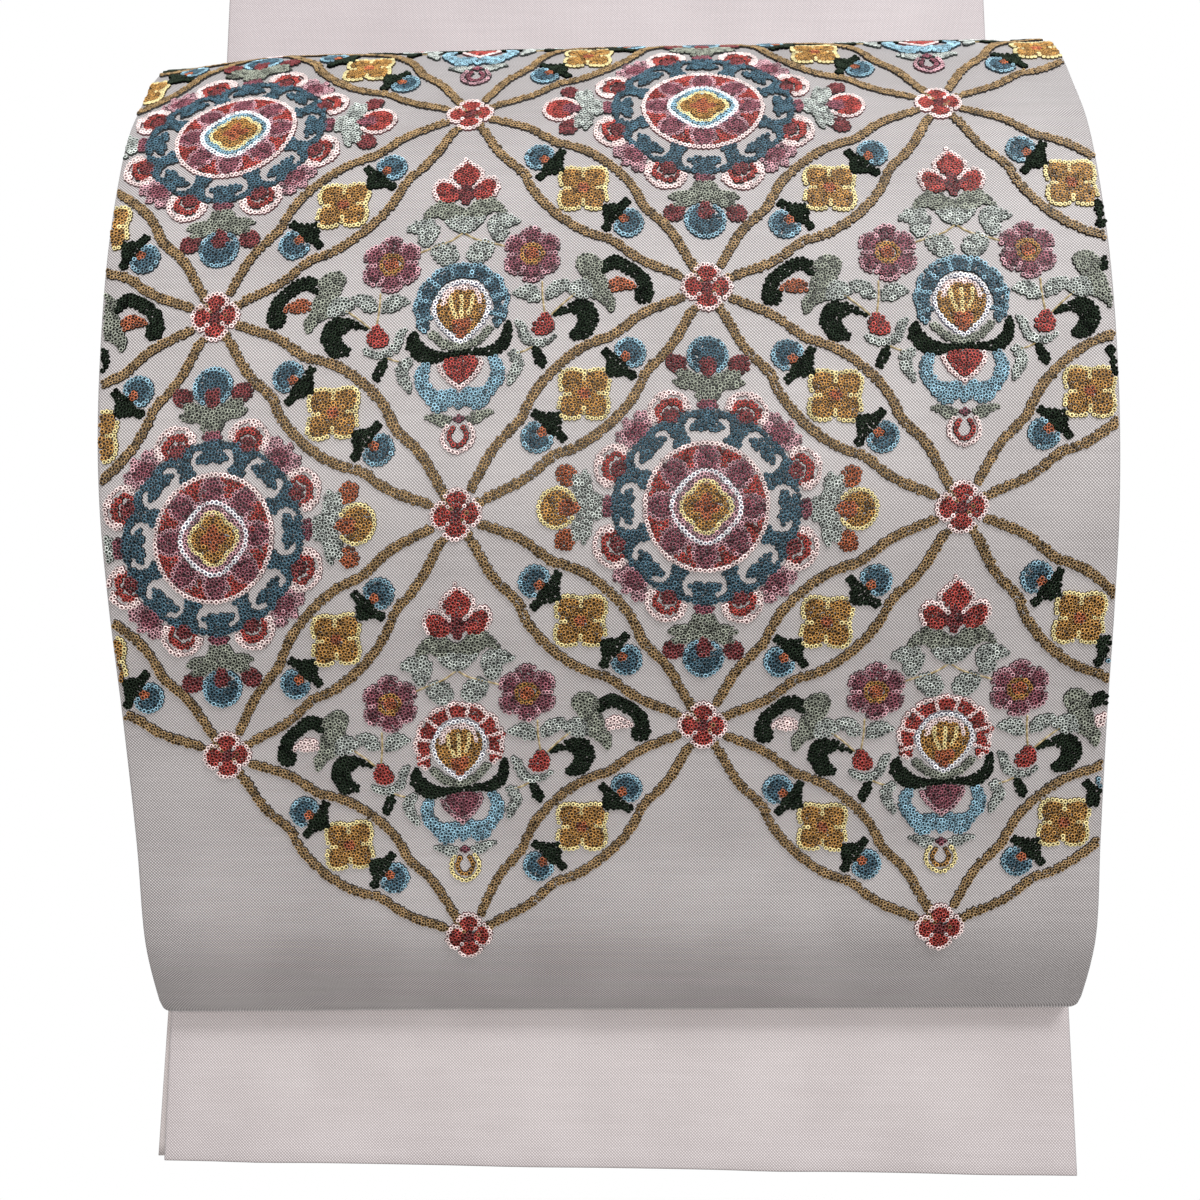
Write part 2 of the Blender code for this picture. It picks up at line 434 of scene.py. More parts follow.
@dataclass(frozen=True)
class SilkGround:
    """Degummed silk woven fine and close in twill, with a little nacre and a soft sheen, and painted
    shade in the grooves between its ribs.

    The real twill is about 0.5 mm from rib to rib; it is drawn at rib_mm so that it shows.
    """

    name: str
    colour: str
    # Colour in the grooves between the twill's ribs: painted shade
    valley_shade: str
    rib_mm: float = 0.7
    roughness: float = 0.5
    sheen: float = 0.35

    def material(self) -> bpy.types.Material:
        """Build the woven silk on the piece's own UV map, which is in metres along the threads.

        Returns:
            The finished material.
        """
        material, tree, output = new_material(self.name)
        uv = add_node(tree, "ShaderNodeUVMap", {"uv_map": "threads"}, {})
        scale = 2.0 * math.pi / (10.0 * self.rib_mm * MM * math.sqrt(2.0))
        wave = {"wave_type": "BANDS", "bands_direction": "DIAGONAL", "Distortion": 0.6, "Detail": 1.0}
        wave["Detail Scale"] = 1.6
        rib = add_node(tree, "ShaderNodeTexWave", {**wave, "Scale": scale}, {"Vector": uv.outputs[0]})
        turned = add_node(
            tree, "ShaderNodeMapping", {"Scale": (-1.0, 1.0, 1.0)}, {"Vector": uv.outputs[0]}
        )
        cross = add_node(
            tree, "ShaderNodeTexWave", {**wave, "Scale": scale}, {"Vector": turned.outputs[0]}
        )
        both = add_node(
            tree, "ShaderNodeMath", {"operation": "MULTIPLY"}, {
                0: rib.outputs["Fac"], 1: cross.outputs["Fac"]
            }
        )
        weave = add_node(
            tree, "ShaderNodeMath", {"operation": "MULTIPLY_ADD", 1: 0.25}, {
                0: rib.outputs["Fac"], 2: both.outputs[0]
            }
        )
        slub_place = add_node(
            tree, "ShaderNodeMapping", {"Scale": (30.0, 420.0, 1.0)}, {"Vector": uv.outputs[0]}
        )
        slub = add_node(
            tree, "ShaderNodeTexNoise", {"Scale": 1.0, "Detail": 3.0},
            {"Vector": slub_place.outputs[0]},
        )
        cloud = add_node(
            tree, "ShaderNodeTexNoise", {"Scale": 26.0, "Detail": 4.0}, {"Vector": uv.outputs[0]}
        )
        depth = add_node(
            tree, "ShaderNodeMapRange", {
                "From Min": 0.0, "From Max": 0.9, "To Min": 0.0, "To Max": 1.0
            }, {0: weave.outputs[0]}
        )
        uneven = add_node(
            tree, "ShaderNodeMapRange", {
                "From Min": 0.3, "From Max": 0.7, "To Min": -0.03, "To Max": 0.03
            }, {0: slub.outputs[0]}
        )
        drift = add_node(
            tree, "ShaderNodeMapRange", {
                "From Min": 0.35, "From Max": 0.65, "To Min": -0.05, "To Max": 0.05
            }, {0: cloud.outputs[0]}
        )
        first = add_node(
            tree, "ShaderNodeMath", {"operation": "ADD"}, {0: depth.outputs[0], 1: uneven.outputs[0]}
        )
        tone = add_node(
            tree, "ShaderNodeMath", {"operation": "ADD", "use_clamp": True}, {
                0: first.outputs[0], 1: drift.outputs[0]
            }
        )
        # From the valley colour, painted shade in the twill's grooves, to the silk's colour on its
        # ribs; slubs and clouds shift the mix at random
        colour = add_node(
            tree,
            "ShaderNodeMix",
            {"data_type": "RGBA", 6: linear(self.valley_shade), 7: linear(self.colour)},
            {0: tone.outputs[0]},
        )
        bump = add_node(
            tree, "ShaderNodeBump", {
                "Strength": 0.35, "Distance": 0.12 * MM
            }, {"Height": weave.outputs[0]}
        )
        settings = {"Roughness": self.roughness, "Sheen Weight": self.sheen, "Sheen Roughness": 0.4}
        settings["Specular IOR Level"] = 0.4
        links = {"Base Color": colour.outputs[2], "Normal": bump.outputs[0]}
        shader = add_node(tree, "ShaderNodeBsdfPrincipled", settings, links)
        tree.links.new(shader.outputs[0], output.inputs[0])
        return material


@dataclass(frozen=True)
class SilkThread:
    """Loosely twisted silk floss, dyed, with a painted highlight on each knot's crest and painted shade
    in its hollow and round its foot.
    """

    name: str
    colour: str
    # Colour of the painted shade in each knot's hollow, round its foot and so in the gaps between knots
    hollow: str
    roughness: float = 0.38
    # How far the very crest is lightened towards white: a painted highlight
    painted_highlight: float = 0.18
    gloss: float = 0.30
    uneven: float = 0.32
    # Crest value where the painted shade gives way to the floss's own colour
    opening: float = 0.74
    foot: float = 1.02

    def material(self) -> bpy.types.Material:
        """Build the floss from each knot's own crest and tone attributes.

        Returns:
            The finished material.
        """
        material, tree, output = new_material(self.name)
        crest = add_node(tree, "ShaderNodeAttribute", {"attribute_name": "crest"}, {})
        tone = add_node(tree, "ShaderNodeAttribute", {"attribute_name": "tone"}, {})
        place = add_node(tree, "ShaderNodeTexCoord", {}, {})
        # Twist of the floss, 0.3 mm from ply to ply, drawn at 0.5 mm
        twist = add_node(
            tree, "ShaderNodeTexNoise", {"Scale": 2000.0, "Detail": 2.0}, {
                "Vector": place.outputs["Object"]
            }
        )
        # Painted shade (the hollow colour) in the knot's hollow and round its foot, the floss's colour
        # on the ring, and a painted highlight at the very crest
        base = add_node(tree, "ShaderNodeValToRGB", {}, {0: crest.outputs["Fac"]})
        ramp = base.color_ramp
        ramp.elements[0].position, ramp.elements[0].color = self.opening, linear(self.hollow)
        ramp.elements[1].position, ramp.elements[1].color = self.opening + 0.16, linear(self.colour)
        body = linear(self.colour)
        ramp.elements.new(1.0).color = tuple(value + (1.0 - value) * self.painted_highlight for value in body)
        shade = add_node(
            tree, "ShaderNodeHueSaturation", {},
            {"Color": base.outputs[0], "Value": tone.outputs["Fac"]},
        )
        bump = add_node(
            tree, "ShaderNodeBump", {
                "Strength": 0.3, "Distance": 0.1 * MM
            }, {"Height": twist.outputs[0]}
        )
        settings = {"Roughness": self.roughness, "Sheen Weight": 0.02, "Sheen Roughness": 0.4}
        settings["Specular IOR Level"] = self.gloss
        links = {"Base Color": shade.outputs[0], "Normal": bump.outputs[0]}
        shader = add_node(tree, "ShaderNodeBsdfPrincipled", settings, links)
        tree.links.new(shader.outputs[0], output.inputs[0])
        return material


GROUND = SilkGround("pale_silk_twill", "#DFDAD9", "#777170")
# The tail and the band take copies of the drum's twill set lighter, so that these stretches come out
# brighter: painted light
TAIL_GROUND = SilkGround("pale_silk_twill_tail", "#E4DCDC", "#9A9190")
BAND_GROUND = SilkGround("pale_silk_twill_band", "#E2D9DA", "#A69C9D")
BACKING = SilkGround("plain_silk_backing", "#D2CAC8", "#A9A09D")


class Thread(Enum):
    """The dyed flosses of the embroidery."""

    # Each floss: its dyed colour, then the colour of the painted shade in its knots' hollows and
    # between them
    BRONZE_RISING = SilkThread("bronze_silk_floss_rising", "#B08C54", "#170E06", foot=0.98)
    BRONZE_FALLING = SilkThread("bronze_silk_floss_falling", "#AC8952", "#170E06", foot=0.98)
    STEEL = SilkThread("steel_blue_silk_floss", "#37697E", "#02060A")
    SKY = SilkThread("sky_blue_silk_floss", "#A4D4E8", "#10242E")
    RED = SilkThread("madder_red_silk_floss", "#C83828", "#140101")
    CRIMSON = SilkThread("crimson_silk_floss", "#8E1C22", "#0A0101")
    PLUM = SilkThread("plum_silk_floss", "#9C4A5C", "#0E0206")
    MAUVE = SilkThread("mauve_silk_floss", "#E6B0BA", "#2A1016")
    BLUSH = SilkThread("blush_silk_floss", "#FFEAE6", "#52282C", uneven=0.14, opening=0.58, foot=0.94)
    WHITE = SilkThread("white_silk_floss", "#FFFFFF", "#3C3C58", uneven=0.14, opening=0.58, foot=0.94)
    GOLD = SilkThread("gold_silk_floss", "#D09638", "#1A0C01")
    STRAW = SilkThread("straw_silk_floss", "#FBEAA4", "#3A2A04", uneven=0.14, opening=0.58, foot=0.94)
    RUST = SilkThread("rust_silk_floss", "#CC662A", "#180801")
    SAGE = SilkThread("sage_silk_floss", "#A8AE9C", "#0C0F0A")
    MIST = SilkThread("mist_green_silk_floss", "#D8E0D9", "#1C221D")
    GREEN = SilkThread("bottle_green_silk_floss", "#1A2C18", "#010201", 0.6, 0.06, 0.03)


# The couched gold's second colour is painted shade and its crest tint a painted highlight, as for the
# flosses
COUCHED_GOLD = SilkThread("couched_gold_thread", "#BCA878", "#6E5A30", 0.36)


def dressed(finish: "SilkGround | SilkThread") -> bpy.types.Material:
    """The material of a finish, built the first time it is asked for."""
    return bpy.data.materials.get(finish.name) or finish.material()


# ---------------------------------------------------------------- cloth


@dataclass
class ClothShell:
    """A stretch of the band as a thin closed shell with folded edges and sewn seams."""

    path: SashPath
    node: str
    stretch: Stretch
    start: float
    end: float
    finish: SilkGround
    wall: float = 1.7
    columns: int = 40
    row_mm: float = 4.0
    seam_in: float = 2.2
    seam_deep: float = 0.45
    hemmed_start: bool = False
    hemmed_end: bool = False

    def _profile(self) -> list[tuple[float, float]]:
        """The closed outline of a cut across the band: place across and height above the middle.

        Returns:
            The outline's points in order.
        """
        half = self.path.width / 2
        edge = self.wall / 2
        flat = np.linspace(-half + edge, half - edge, self.columns + 1)
        turn = [math.radians(angle) for angle in (60.0, 20.0, -20.0, -60.0)]
        right = [(half - edge + edge * math.cos(a), edge * math.sin(a)) for a in turn]
        seam = [
            (half - self.seam_in + 0.4, -edge),
            (half - self.seam_in, -edge + self.seam_deep),
            (half - self.seam_in - 0.5, -edge),
        ]
        back = [(x, -edge) for x in reversed(flat) if abs(x) < half - self.seam_in - 1.0]
        outline = [(x, edge) for x in flat] + right + seam + back
        outline += [(-x, n) for x, n in reversed(seam)] + [(-x, n) for x, n in reversed(right)]
        return outline

    def _rows(self) -> list[tuple[float, float]]:
        """Rows along the band as distance and share of the full wall, closer in turns and at hems.

        Returns:
            Distance and share of the wall for each row.
        """
        inner = self.path.stations(self.start, self.end, self.row_mm)
        edge = self.wall / 2
        steps = (1.0, 0.85, 0.5)
        rows = [(at, 1.0) for at in inner]
        if self.hemmed_start:
            first = [(self.start + edge - edge * math.sqrt(1.0 - s * s), s) for s in reversed(steps)]
            rows = first + [row for row in rows if row[0] > self.start + edge + 0.1]
        if self.hemmed_end:
            last = [(self.end - edge + edge * math.sqrt(1.0 - s * s), s) for s in steps]
            rows = [row for row in rows if row[0] < self.end - edge - 0.1] + last
        return rows

    def build(self) -> bpy.types.Object:
        """Build the shell, dress it and tie it to the frame.

        Returns:
            The finished piece.
        """
        profile = np.array(self._profile())
        rows = self._rows()
        across = np.clip(profile[:, 0] / (self.path.width / 2), -1.0, 1.0)
        points = []
        for distance, share in rows:
            place, _normal = self.path.surface(
                self.stretch, across, np.full(len(across), distance), profile[:, 1] * share
            )
            points.append(place)
        points = np.concatenate(points) * MM
        ring = len(profile)
        steps = np.linalg.norm(np.diff(np.vstack([profile, profile[:1]]), axis=0), axis=1)
        around = np.concatenate([[0.0], np.cumsum(steps)]) * MM
        mesh = bpy.data.meshes.new(f"{self.node}_cloth")
        faces = []
        for row in range(len(rows) - 1):
            low = row * ring
            high = low + ring
            faces += [
                (low + j, low + (j + 1) % ring, high + (j + 1) % ring, high + j) for j in range(ring)
            ]
        faces.append(tuple(reversed(range(ring))))
        faces.append(tuple(range((len(rows) - 1) * ring, len(rows) * ring)))
        mesh.from_pydata(points.tolist(), [], faces)
        mesh.update()
        threads = mesh.uv_layers.new(name="threads")
        places = np.empty(len(mesh.loops), dtype=np.int32)
        mesh.loops.foreach_get("vertex_index", places)
        u = around[places % ring]
        v = np.array([distance for distance, _share in rows])[places // ring] * MM
        corner = np.arange(len(places))
        wraps = (places % ring == 0) & (
            (corner % 4 == 1) | (corner % 4 == 2)
        ) & (corner < len(places) - 2 * ring)
        u = np.where(wraps, around[-1], u)
        threads.data.foreach_set("uv", np.stack([u, v], axis=1).astype(np.float32).ravel())
        smooth = np.ones(len(faces), dtype=bool)
        smooth[-2:] = False
        mesh.polygons.foreach_set("use_smooth", smooth)
        mesh.materials.append(dressed(self.finish))
        piece = bpy.data.objects.new(f"{self.node}_cloth", mesh)
        bpy.context.scene.collection.objects.link(piece)
        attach(piece, "root")
        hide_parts(self.node)
        return piece


# ---------------------------------------------------------------- drawing the embroidery flat

# The real knots are about 1.05 mm across; they are drawn at a wider pitch so that each shows
KNOT_MM = 1.32
EDGE_KNOT_MM = 1.42
# Spacing of the sample points that are shared out among the knots
SAMPLE_MM = 0.34
# Side of the squares in which knots look for their neighbours
CELL_MM = 2.0
# A distance that stands for no neighbour
FAR_MM = 9.0
# Least distance between knots, as shares of their pitch: in a row, in a fill, between figures
ROW_ROOM = 0.72
FILL_ROOM = 0.55
MERGE_ROOM = 0.62
# Rounds in which the knots of a fill settle, and from how many knots on fewer are enough
SETTLE_ROUNDS = 26
FEWER_ROUNDS = 14
MANY_KNOTS = 300


def ellipse(x: float, y: float, wide: float, high: float, turn: float = 0.0, count: int = 48) -> Array:
    """A closed ellipse outline.

    Args:
        x: Centre across.
        y: Centre up.
        wide: Half width.
        high: Half height.
        turn: Turn in degrees.
        count: How many points.

    Returns:
        The outline's points.
    """
    angle = np.linspace(0.0, 2.0 * math.pi, count, endpoint=False)
    return placed(np.stack([wide * np.cos(angle), high * np.sin(angle)], axis=1), x, y, turn)


def lobed(x: float, y: float, radius: float, depth: float, lobes: int, turn: float = 0.0) -> Array:
    """A closed outline with round lobes and sharper notches between them.

    Args:
        x: Centre across.
        y: Centre up.
        radius: Reach of the lobes.
        depth: Share of the radius lost in the notches.
        lobes: How many lobes.
        turn: Turn in degrees.

    Returns:
        The outline's points.
    """
    angle = np.linspace(0.0, 2.0 * math.pi, 24 * lobes, endpoint=False)
    reach = radius * (1.0 - depth * (1.0 - np.abs(np.cos(lobes * angle / 2.0)) ** 0.8))
    return placed(np.stack([reach * np.cos(angle), reach * np.sin(angle)], axis=1), x, y, turn)


def wavy(radius: float, share: float, waves: int) -> Array:
    """A closed ring about the centre whose radius swells softly a few times.

    Args:
        radius: Mean radius.
        share: Swell as a share of the radius.
        waves: How many swells.

    Returns:
        The ring's points.
    """
    angle = np.linspace(0.0, 2.0 * math.pi, 160, endpoint=False)
    reach = radius * (1.0 + share * np.cos(waves * angle))
    return np.stack([reach * np.cos(angle), reach * np.sin(angle)], axis=1)


def placed(points: Array, x: float, y: float, turn: float = 0.0) -> Array:
    """Turn points by degrees about their own origin, then move them.

    Args:
        points: Points to place.
        x: Move across.
        y: Move up.
        turn: Turn in degrees.

    Returns:
        The placed points.
    """
    c, s = math.cos(math.radians(turn)), math.sin(math.radians(turn))
    points = np.asarray(points, dtype=float)
    return np.stack(
        [x + points[:, 0] * c - points[:, 1] * s, y + points[:, 0] * s + points[:, 1] * c], axis=1
    )


def rounded(points: Sequence[tuple[float, float]], closed: bool = True, steps: int = 8) -> Array:
    """A smooth line through a few points.

    Args:
        points: The points it passes through.
        closed: Whether it returns to the first one.
        steps: Points on each span.

    Returns:
        The line's points.
    """
    p = np.asarray(points, dtype=float)
    if closed:
        p = np.vstack([p[-1:], p, p[:2]])
    else:
        p = np.vstack([2 * p[:1] - p[1:2], p, 2 * p[-1:] - p[-2:-1]])
    t = (np.arange(steps) / steps)[:, None]
    spans = []
    for a, b, c, d in zip(p, p[1:], p[2:], p[3:]):
        spans.append(
            b + t * (c - a) / 2 + t**2 * (
                2 * a - 5 * b + 4 * c - d
            ) / 2 + t**3 * (3 * b - a - 3 * c + d) / 2
        )
    line = np.vstack(spans)
    return line if closed else np.vstack([line, p[-2:-1]])


def mirrored(points: Array, side: int) -> Array:
    """The points as they are for side 1, or flipped left to right for side -1."""
    points = np.asarray(points, dtype=float)
    return points if side > 0 else (points * (-1.0, 1.0))[::-1]


def spaced(line: Array, pitch: float, closed: bool) -> Array:
    """Points at even steps of about one pitch along a line.

    Args:
        line: The line's points.
        pitch: Wanted step.
        closed: Whether the line returns to its start.

    Returns:
        The evenly spaced points.
    """
    line = np.asarray(line, dtype=float)
    if closed:
        line = np.vstack([line, line[:1]])
    walked = np.concatenate([[0.0], np.cumsum(np.linalg.norm(np.diff(line, axis=0), axis=1))])
    count = max(1, round(walked[-1] / pitch))
    at = np.linspace(0.0, walked[-1], count + 1)
    at = at[:-1] if closed else at
    return np.stack([np.interp(at, walked, line[:, 0]), np.interp(at, walked, line[:, 1])], axis=1)


def from_edge(points: Array, outline: Array) -> tuple[Array, Array]:
    """How far points lie inside a closed outline, and where along it they are nearest.

    Args:
        points: Points to test.
        outline: A closed outline.

    Returns:
        Distances, positive inside, and places along the outline.
    """
    start, end = outline, np.roll(outline, -1, axis=0)
    span = end - start
    size = np.maximum((span**2).sum(axis=1), 1e-9)
    away = points[:, None, :] - start[None, :, :]
    share = np.clip((away * span[None]).sum(axis=2) / size[None], 0.0, 1.0)
    gap = np.linalg.norm(away - share[..., None] * span[None], axis=2)
    nearest = gap.argmin(axis=1)
    rows = np.arange(len(points))
    y = points[:, 1][:, None]
    crosses = (start[None, :, 1] > y) != (end[None, :, 1] > y)
    rise = np.where(np.abs(span[:, 1]) < 1e-9, 1e-9, span[:, 1])
    meet = start[None, :, 0] + (y - start[None, :, 1]) / rise[None] * span[None, :, 0]
    inside = (crosses & (points[:, 0][:, None] < meet)).sum(axis=1) % 2 == 1
    walked = np.concatenate([[0.0], np.cumsum(np.sqrt(size))])[:-1]
    place = walked[nearest] + share[rows, nearest] * np.sqrt(size[nearest])
    return np.where(inside, gap[rows, nearest], -gap[rows, nearest]), place


def hexes(low: Array, high: Array, pitch: float) -> Array:
    """Points of a triangular grid over a box.

    Args:
        low: Least corner of the box.
        high: Greatest corner of the box.
        pitch: Step between neighbours.

    Returns:
        The grid's points.
    """
    rows = np.arange(low[1], high[1] + pitch, pitch * 0.866)
    columns = np.arange(low[0], high[0] + pitch, pitch)
    grid = [
        np.stack([columns + (index % 2) * pitch / 2, np.full(len(columns), y)], axis=1) for index,
        y in enumerate(rows)
    ]
    return np.vstack(grid)


def nearest(points: Array, others: Array) -> tuple[Array, Array]:
    """For each point, which of the others is nearest and how far off it is.

    Args:
        points: Points to test.
        others: Points to find the nearest of.

    Returns:
        The index of the nearest one and its distance, for each point.
    """
    owner = np.empty(len(points), dtype=int)
    gap = np.empty(len(points))
    for start in range(0, len(points), 4000):
        part = points[start : start + 4000]
        square = ((part[:, None, :] - others[None, :, :]) ** 2).sum(axis=2)
        owner[start : start + 4000] = square.argmin(axis=1)
        gap[start : start + 4000] = np.sqrt(square.min(axis=1))
    return owner, gap


def evened(line: Array, reach: int = 3) -> Array:
    """Smooth a closed line by averaging neighbours.

    Args:
        line: The closed line's points.
        reach: How many neighbours on each side to average.

    Returns:
        The smoothed points.
    """
    if len(line) < 2 * reach + 3:
        return line
    return sum(np.roll(line, shift, axis=0) for shift in range(-reach, reach + 1)) / (2 * reach + 1)


@dataclass
class Motif:
    """Knots and couched stems of one figure, drawn about its own centre."""

    knots: list[tuple[float, float, float, Thread]] = field(default_factory=list)
    stems: list[Array] = field(default_factory=list)
    _cells: dict[tuple[int, int], list[tuple[float, float]]] = field(default_factory=dict)

    def _free(self, x: float, y: float, room: float) -> bool:
        """Whether a knot fits with that much room.

        Args:
            x: Place across.
            y: Place up.
            room: Least distance to other knots.

        Returns:
            True where no other knot is nearer.
        """
        cx, cy = int(x // CELL_MM), int(y // CELL_MM)
        for i in (cx - 1, cx, cx + 1):
            for j in (cy - 1, cy, cy + 1):
                for px, py in self._cells.get((i, j), ()):
                    if (px - x) ** 2 + (py - y) ** 2 < room * room:
                        return False
        return True

    def _tie(self, x: float, y: float, size: float, thread: Thread, room: float) -> None:
        """Tie one knot where it fits.

        Args:
            x: Place across.
            y: Place up.
            size: Size against the usual one.
            thread: The floss.
            room: Least distance to other knots.
        """
        if self._free(x, y, room):
            self.knots.append((x, y, size, thread))
            self._cells.setdefault((int(x // CELL_MM), int(y // CELL_MM)), []).append((x, y))

    def row(
        self, line: Array, thread: Thread, pitch: float = KNOT_MM, closed: bool = False,
        size: float = 1.0,
    ) -> None:
        """Tie a row of knots along a line.

        Args:
            line: The line's points.
            thread: The floss.
            pitch: Step from knot to knot.
            closed: Whether the line returns to its start.
            size: Size of each knot against the usual one.
        """
        for x, y in spaced(line, pitch, closed):
            self._tie(x, y, size, thread, ROW_ROOM * pitch)

    def fill(self, outline: Array, thread: Thread, edge: Optional[Thread] = None) -> None:
        """Fill a closed outline with knots packed close, and an outer row where it has an edge.

        Args:
            outline: The closed outline.
            thread: The floss inside.
            edge: The floss of the outer row, if it has one of its own.
        """
        grid = hexes(outline.min(axis=0), outline.max(axis=0), SAMPLE_MM)
        depth, place = from_edge(grid, outline)
        if edge:
            near = np.nonzero(np.abs(depth - EDGE_KNOT_MM * 0.5) < SAMPLE_MM * 0.6)[0]
            rim = grid[near[np.argsort(place[near])]]
            self.row(evened(rim), edge, EDGE_KNOT_MM, closed=True, size=1.02)
        inner = EDGE_KNOT_MM if edge else 0.0
        self._pack(grid[depth > inner], thread)

    def fill_where(self, inside: Callable[[Array, Array], Array], reach: float, thread: Thread) -> None:
        """Fill a region round the centre with knots packed close.

        Args:
            inside: Says from radius and angle whether a place belongs.
            reach: Outer radius to search.
            thread: The floss.
        """
        grid = hexes(np.array([-reach, -reach]), np.array([reach, reach]), SAMPLE_MM)
        wanted = inside(np.hypot(grid[:, 0], grid[:, 1]), np.arctan2(grid[:, 1], grid[:, 0]))
        self._pack(grid[wanted], thread)

    def _pack(self, ground: Array, thread: Thread, knot_mm: float = KNOT_MM) -> None:
        """Share a patch of ground out evenly among as many knots as cover it.

        Args:
            ground: Evenly spread places that make up the patch.
            thread: The floss.
            knot_mm: Pitch of the knots.
        """
        if self.knots and len(ground):
            taken = np.array([(x, y) for x, y, _size, _thread in self.knots])
            near = np.abs(taken - ground.mean(axis=0)).max(axis=1) < np.ptp(ground, axis=0).max()
            gap = nearest(ground, taken[near])[1] if near.any() else np.full(len(ground), FAR_MM)
            ground = ground[gap > 0.5 * KNOT_MM]
        if len(ground) < 4:
            return
        count = max(1, round(len(ground) * (SAMPLE_MM / knot_mm) ** 2))
        knots = ground[np.linspace(0, len(ground) - 1, count).astype(int)].copy()
        for _turn in range(SETTLE_ROUNDS if count < MANY_KNOTS else FEWER_ROUNDS):
            owner, _gap = nearest(ground, knots)
            size = np.bincount(owner, minlength=count)
            for axis in (0, 1):
                total = np.bincount(owner, weights=ground[:, axis], minlength=count)
                knots[:, axis] = np.where(size > 0, total / np.maximum(size, 1), knots[:, axis])
        for x, y in knots:
            self._tie(x, y, 1.0, thread, FILL_ROOM * knot_mm)

    def ribbon(self, line: Array, thread: Thread, wide: float, knot_mm: float = KNOT_MM) -> None:
        """Pack a strip of knots along a smooth line.

        Args:
            line: The middle of the strip.
            thread: The floss.
            wide: Width of the strip.
            knot_mm: Pitch of the knots.
        """
        middle = spaced(line, 0.5, False)
        low, high = middle.min(axis=0) - wide, middle.max(axis=0) + wide
        grid = hexes(low, high, SAMPLE_MM)
        self._pack(grid[nearest(grid, middle)[1] < wide / 2], thread, knot_mm)

    def merge(self, other: "Motif", x: float, y: float, turn: float) -> None:
        """Add another figure's knots and stems, turned and moved.

        Args:
            other: The figure to add.
            x: Move across.
            y: Move up.
            turn: Turn in degrees.
        """
        if other.knots:
            places = placed(np.array([(kx, ky) for kx, ky, _size, _thread in other.knots]), x, y, turn)
            for (px, py), (_x, _y, size, thread) in zip(places, other.knots):
                self._tie(px, py, size, thread, MERGE_ROOM * KNOT_MM)
        self.stems += [placed(stem, x, y, turn) for stem in other.stems]


# ---------------------------------------------------------------- the figures


@dataclass(frozen=True)
class MedallionColours:
    """Flosses of one round medallion."""

    halo: Thread
    side_bud: Thread
    side_edge: Thread
    side_petal: Thread
    side_heart: Thread


@dataclass(frozen=True)
class PalmetteColours:
    """Flosses of one palmette bouquet."""

    lotus: Thread
    lotus_edge: Thread
    tongue: Thread
    drop: Thread
    drop_edge: Thread
    bud: Thread
    bud_edge: Thread
    frill: Thread


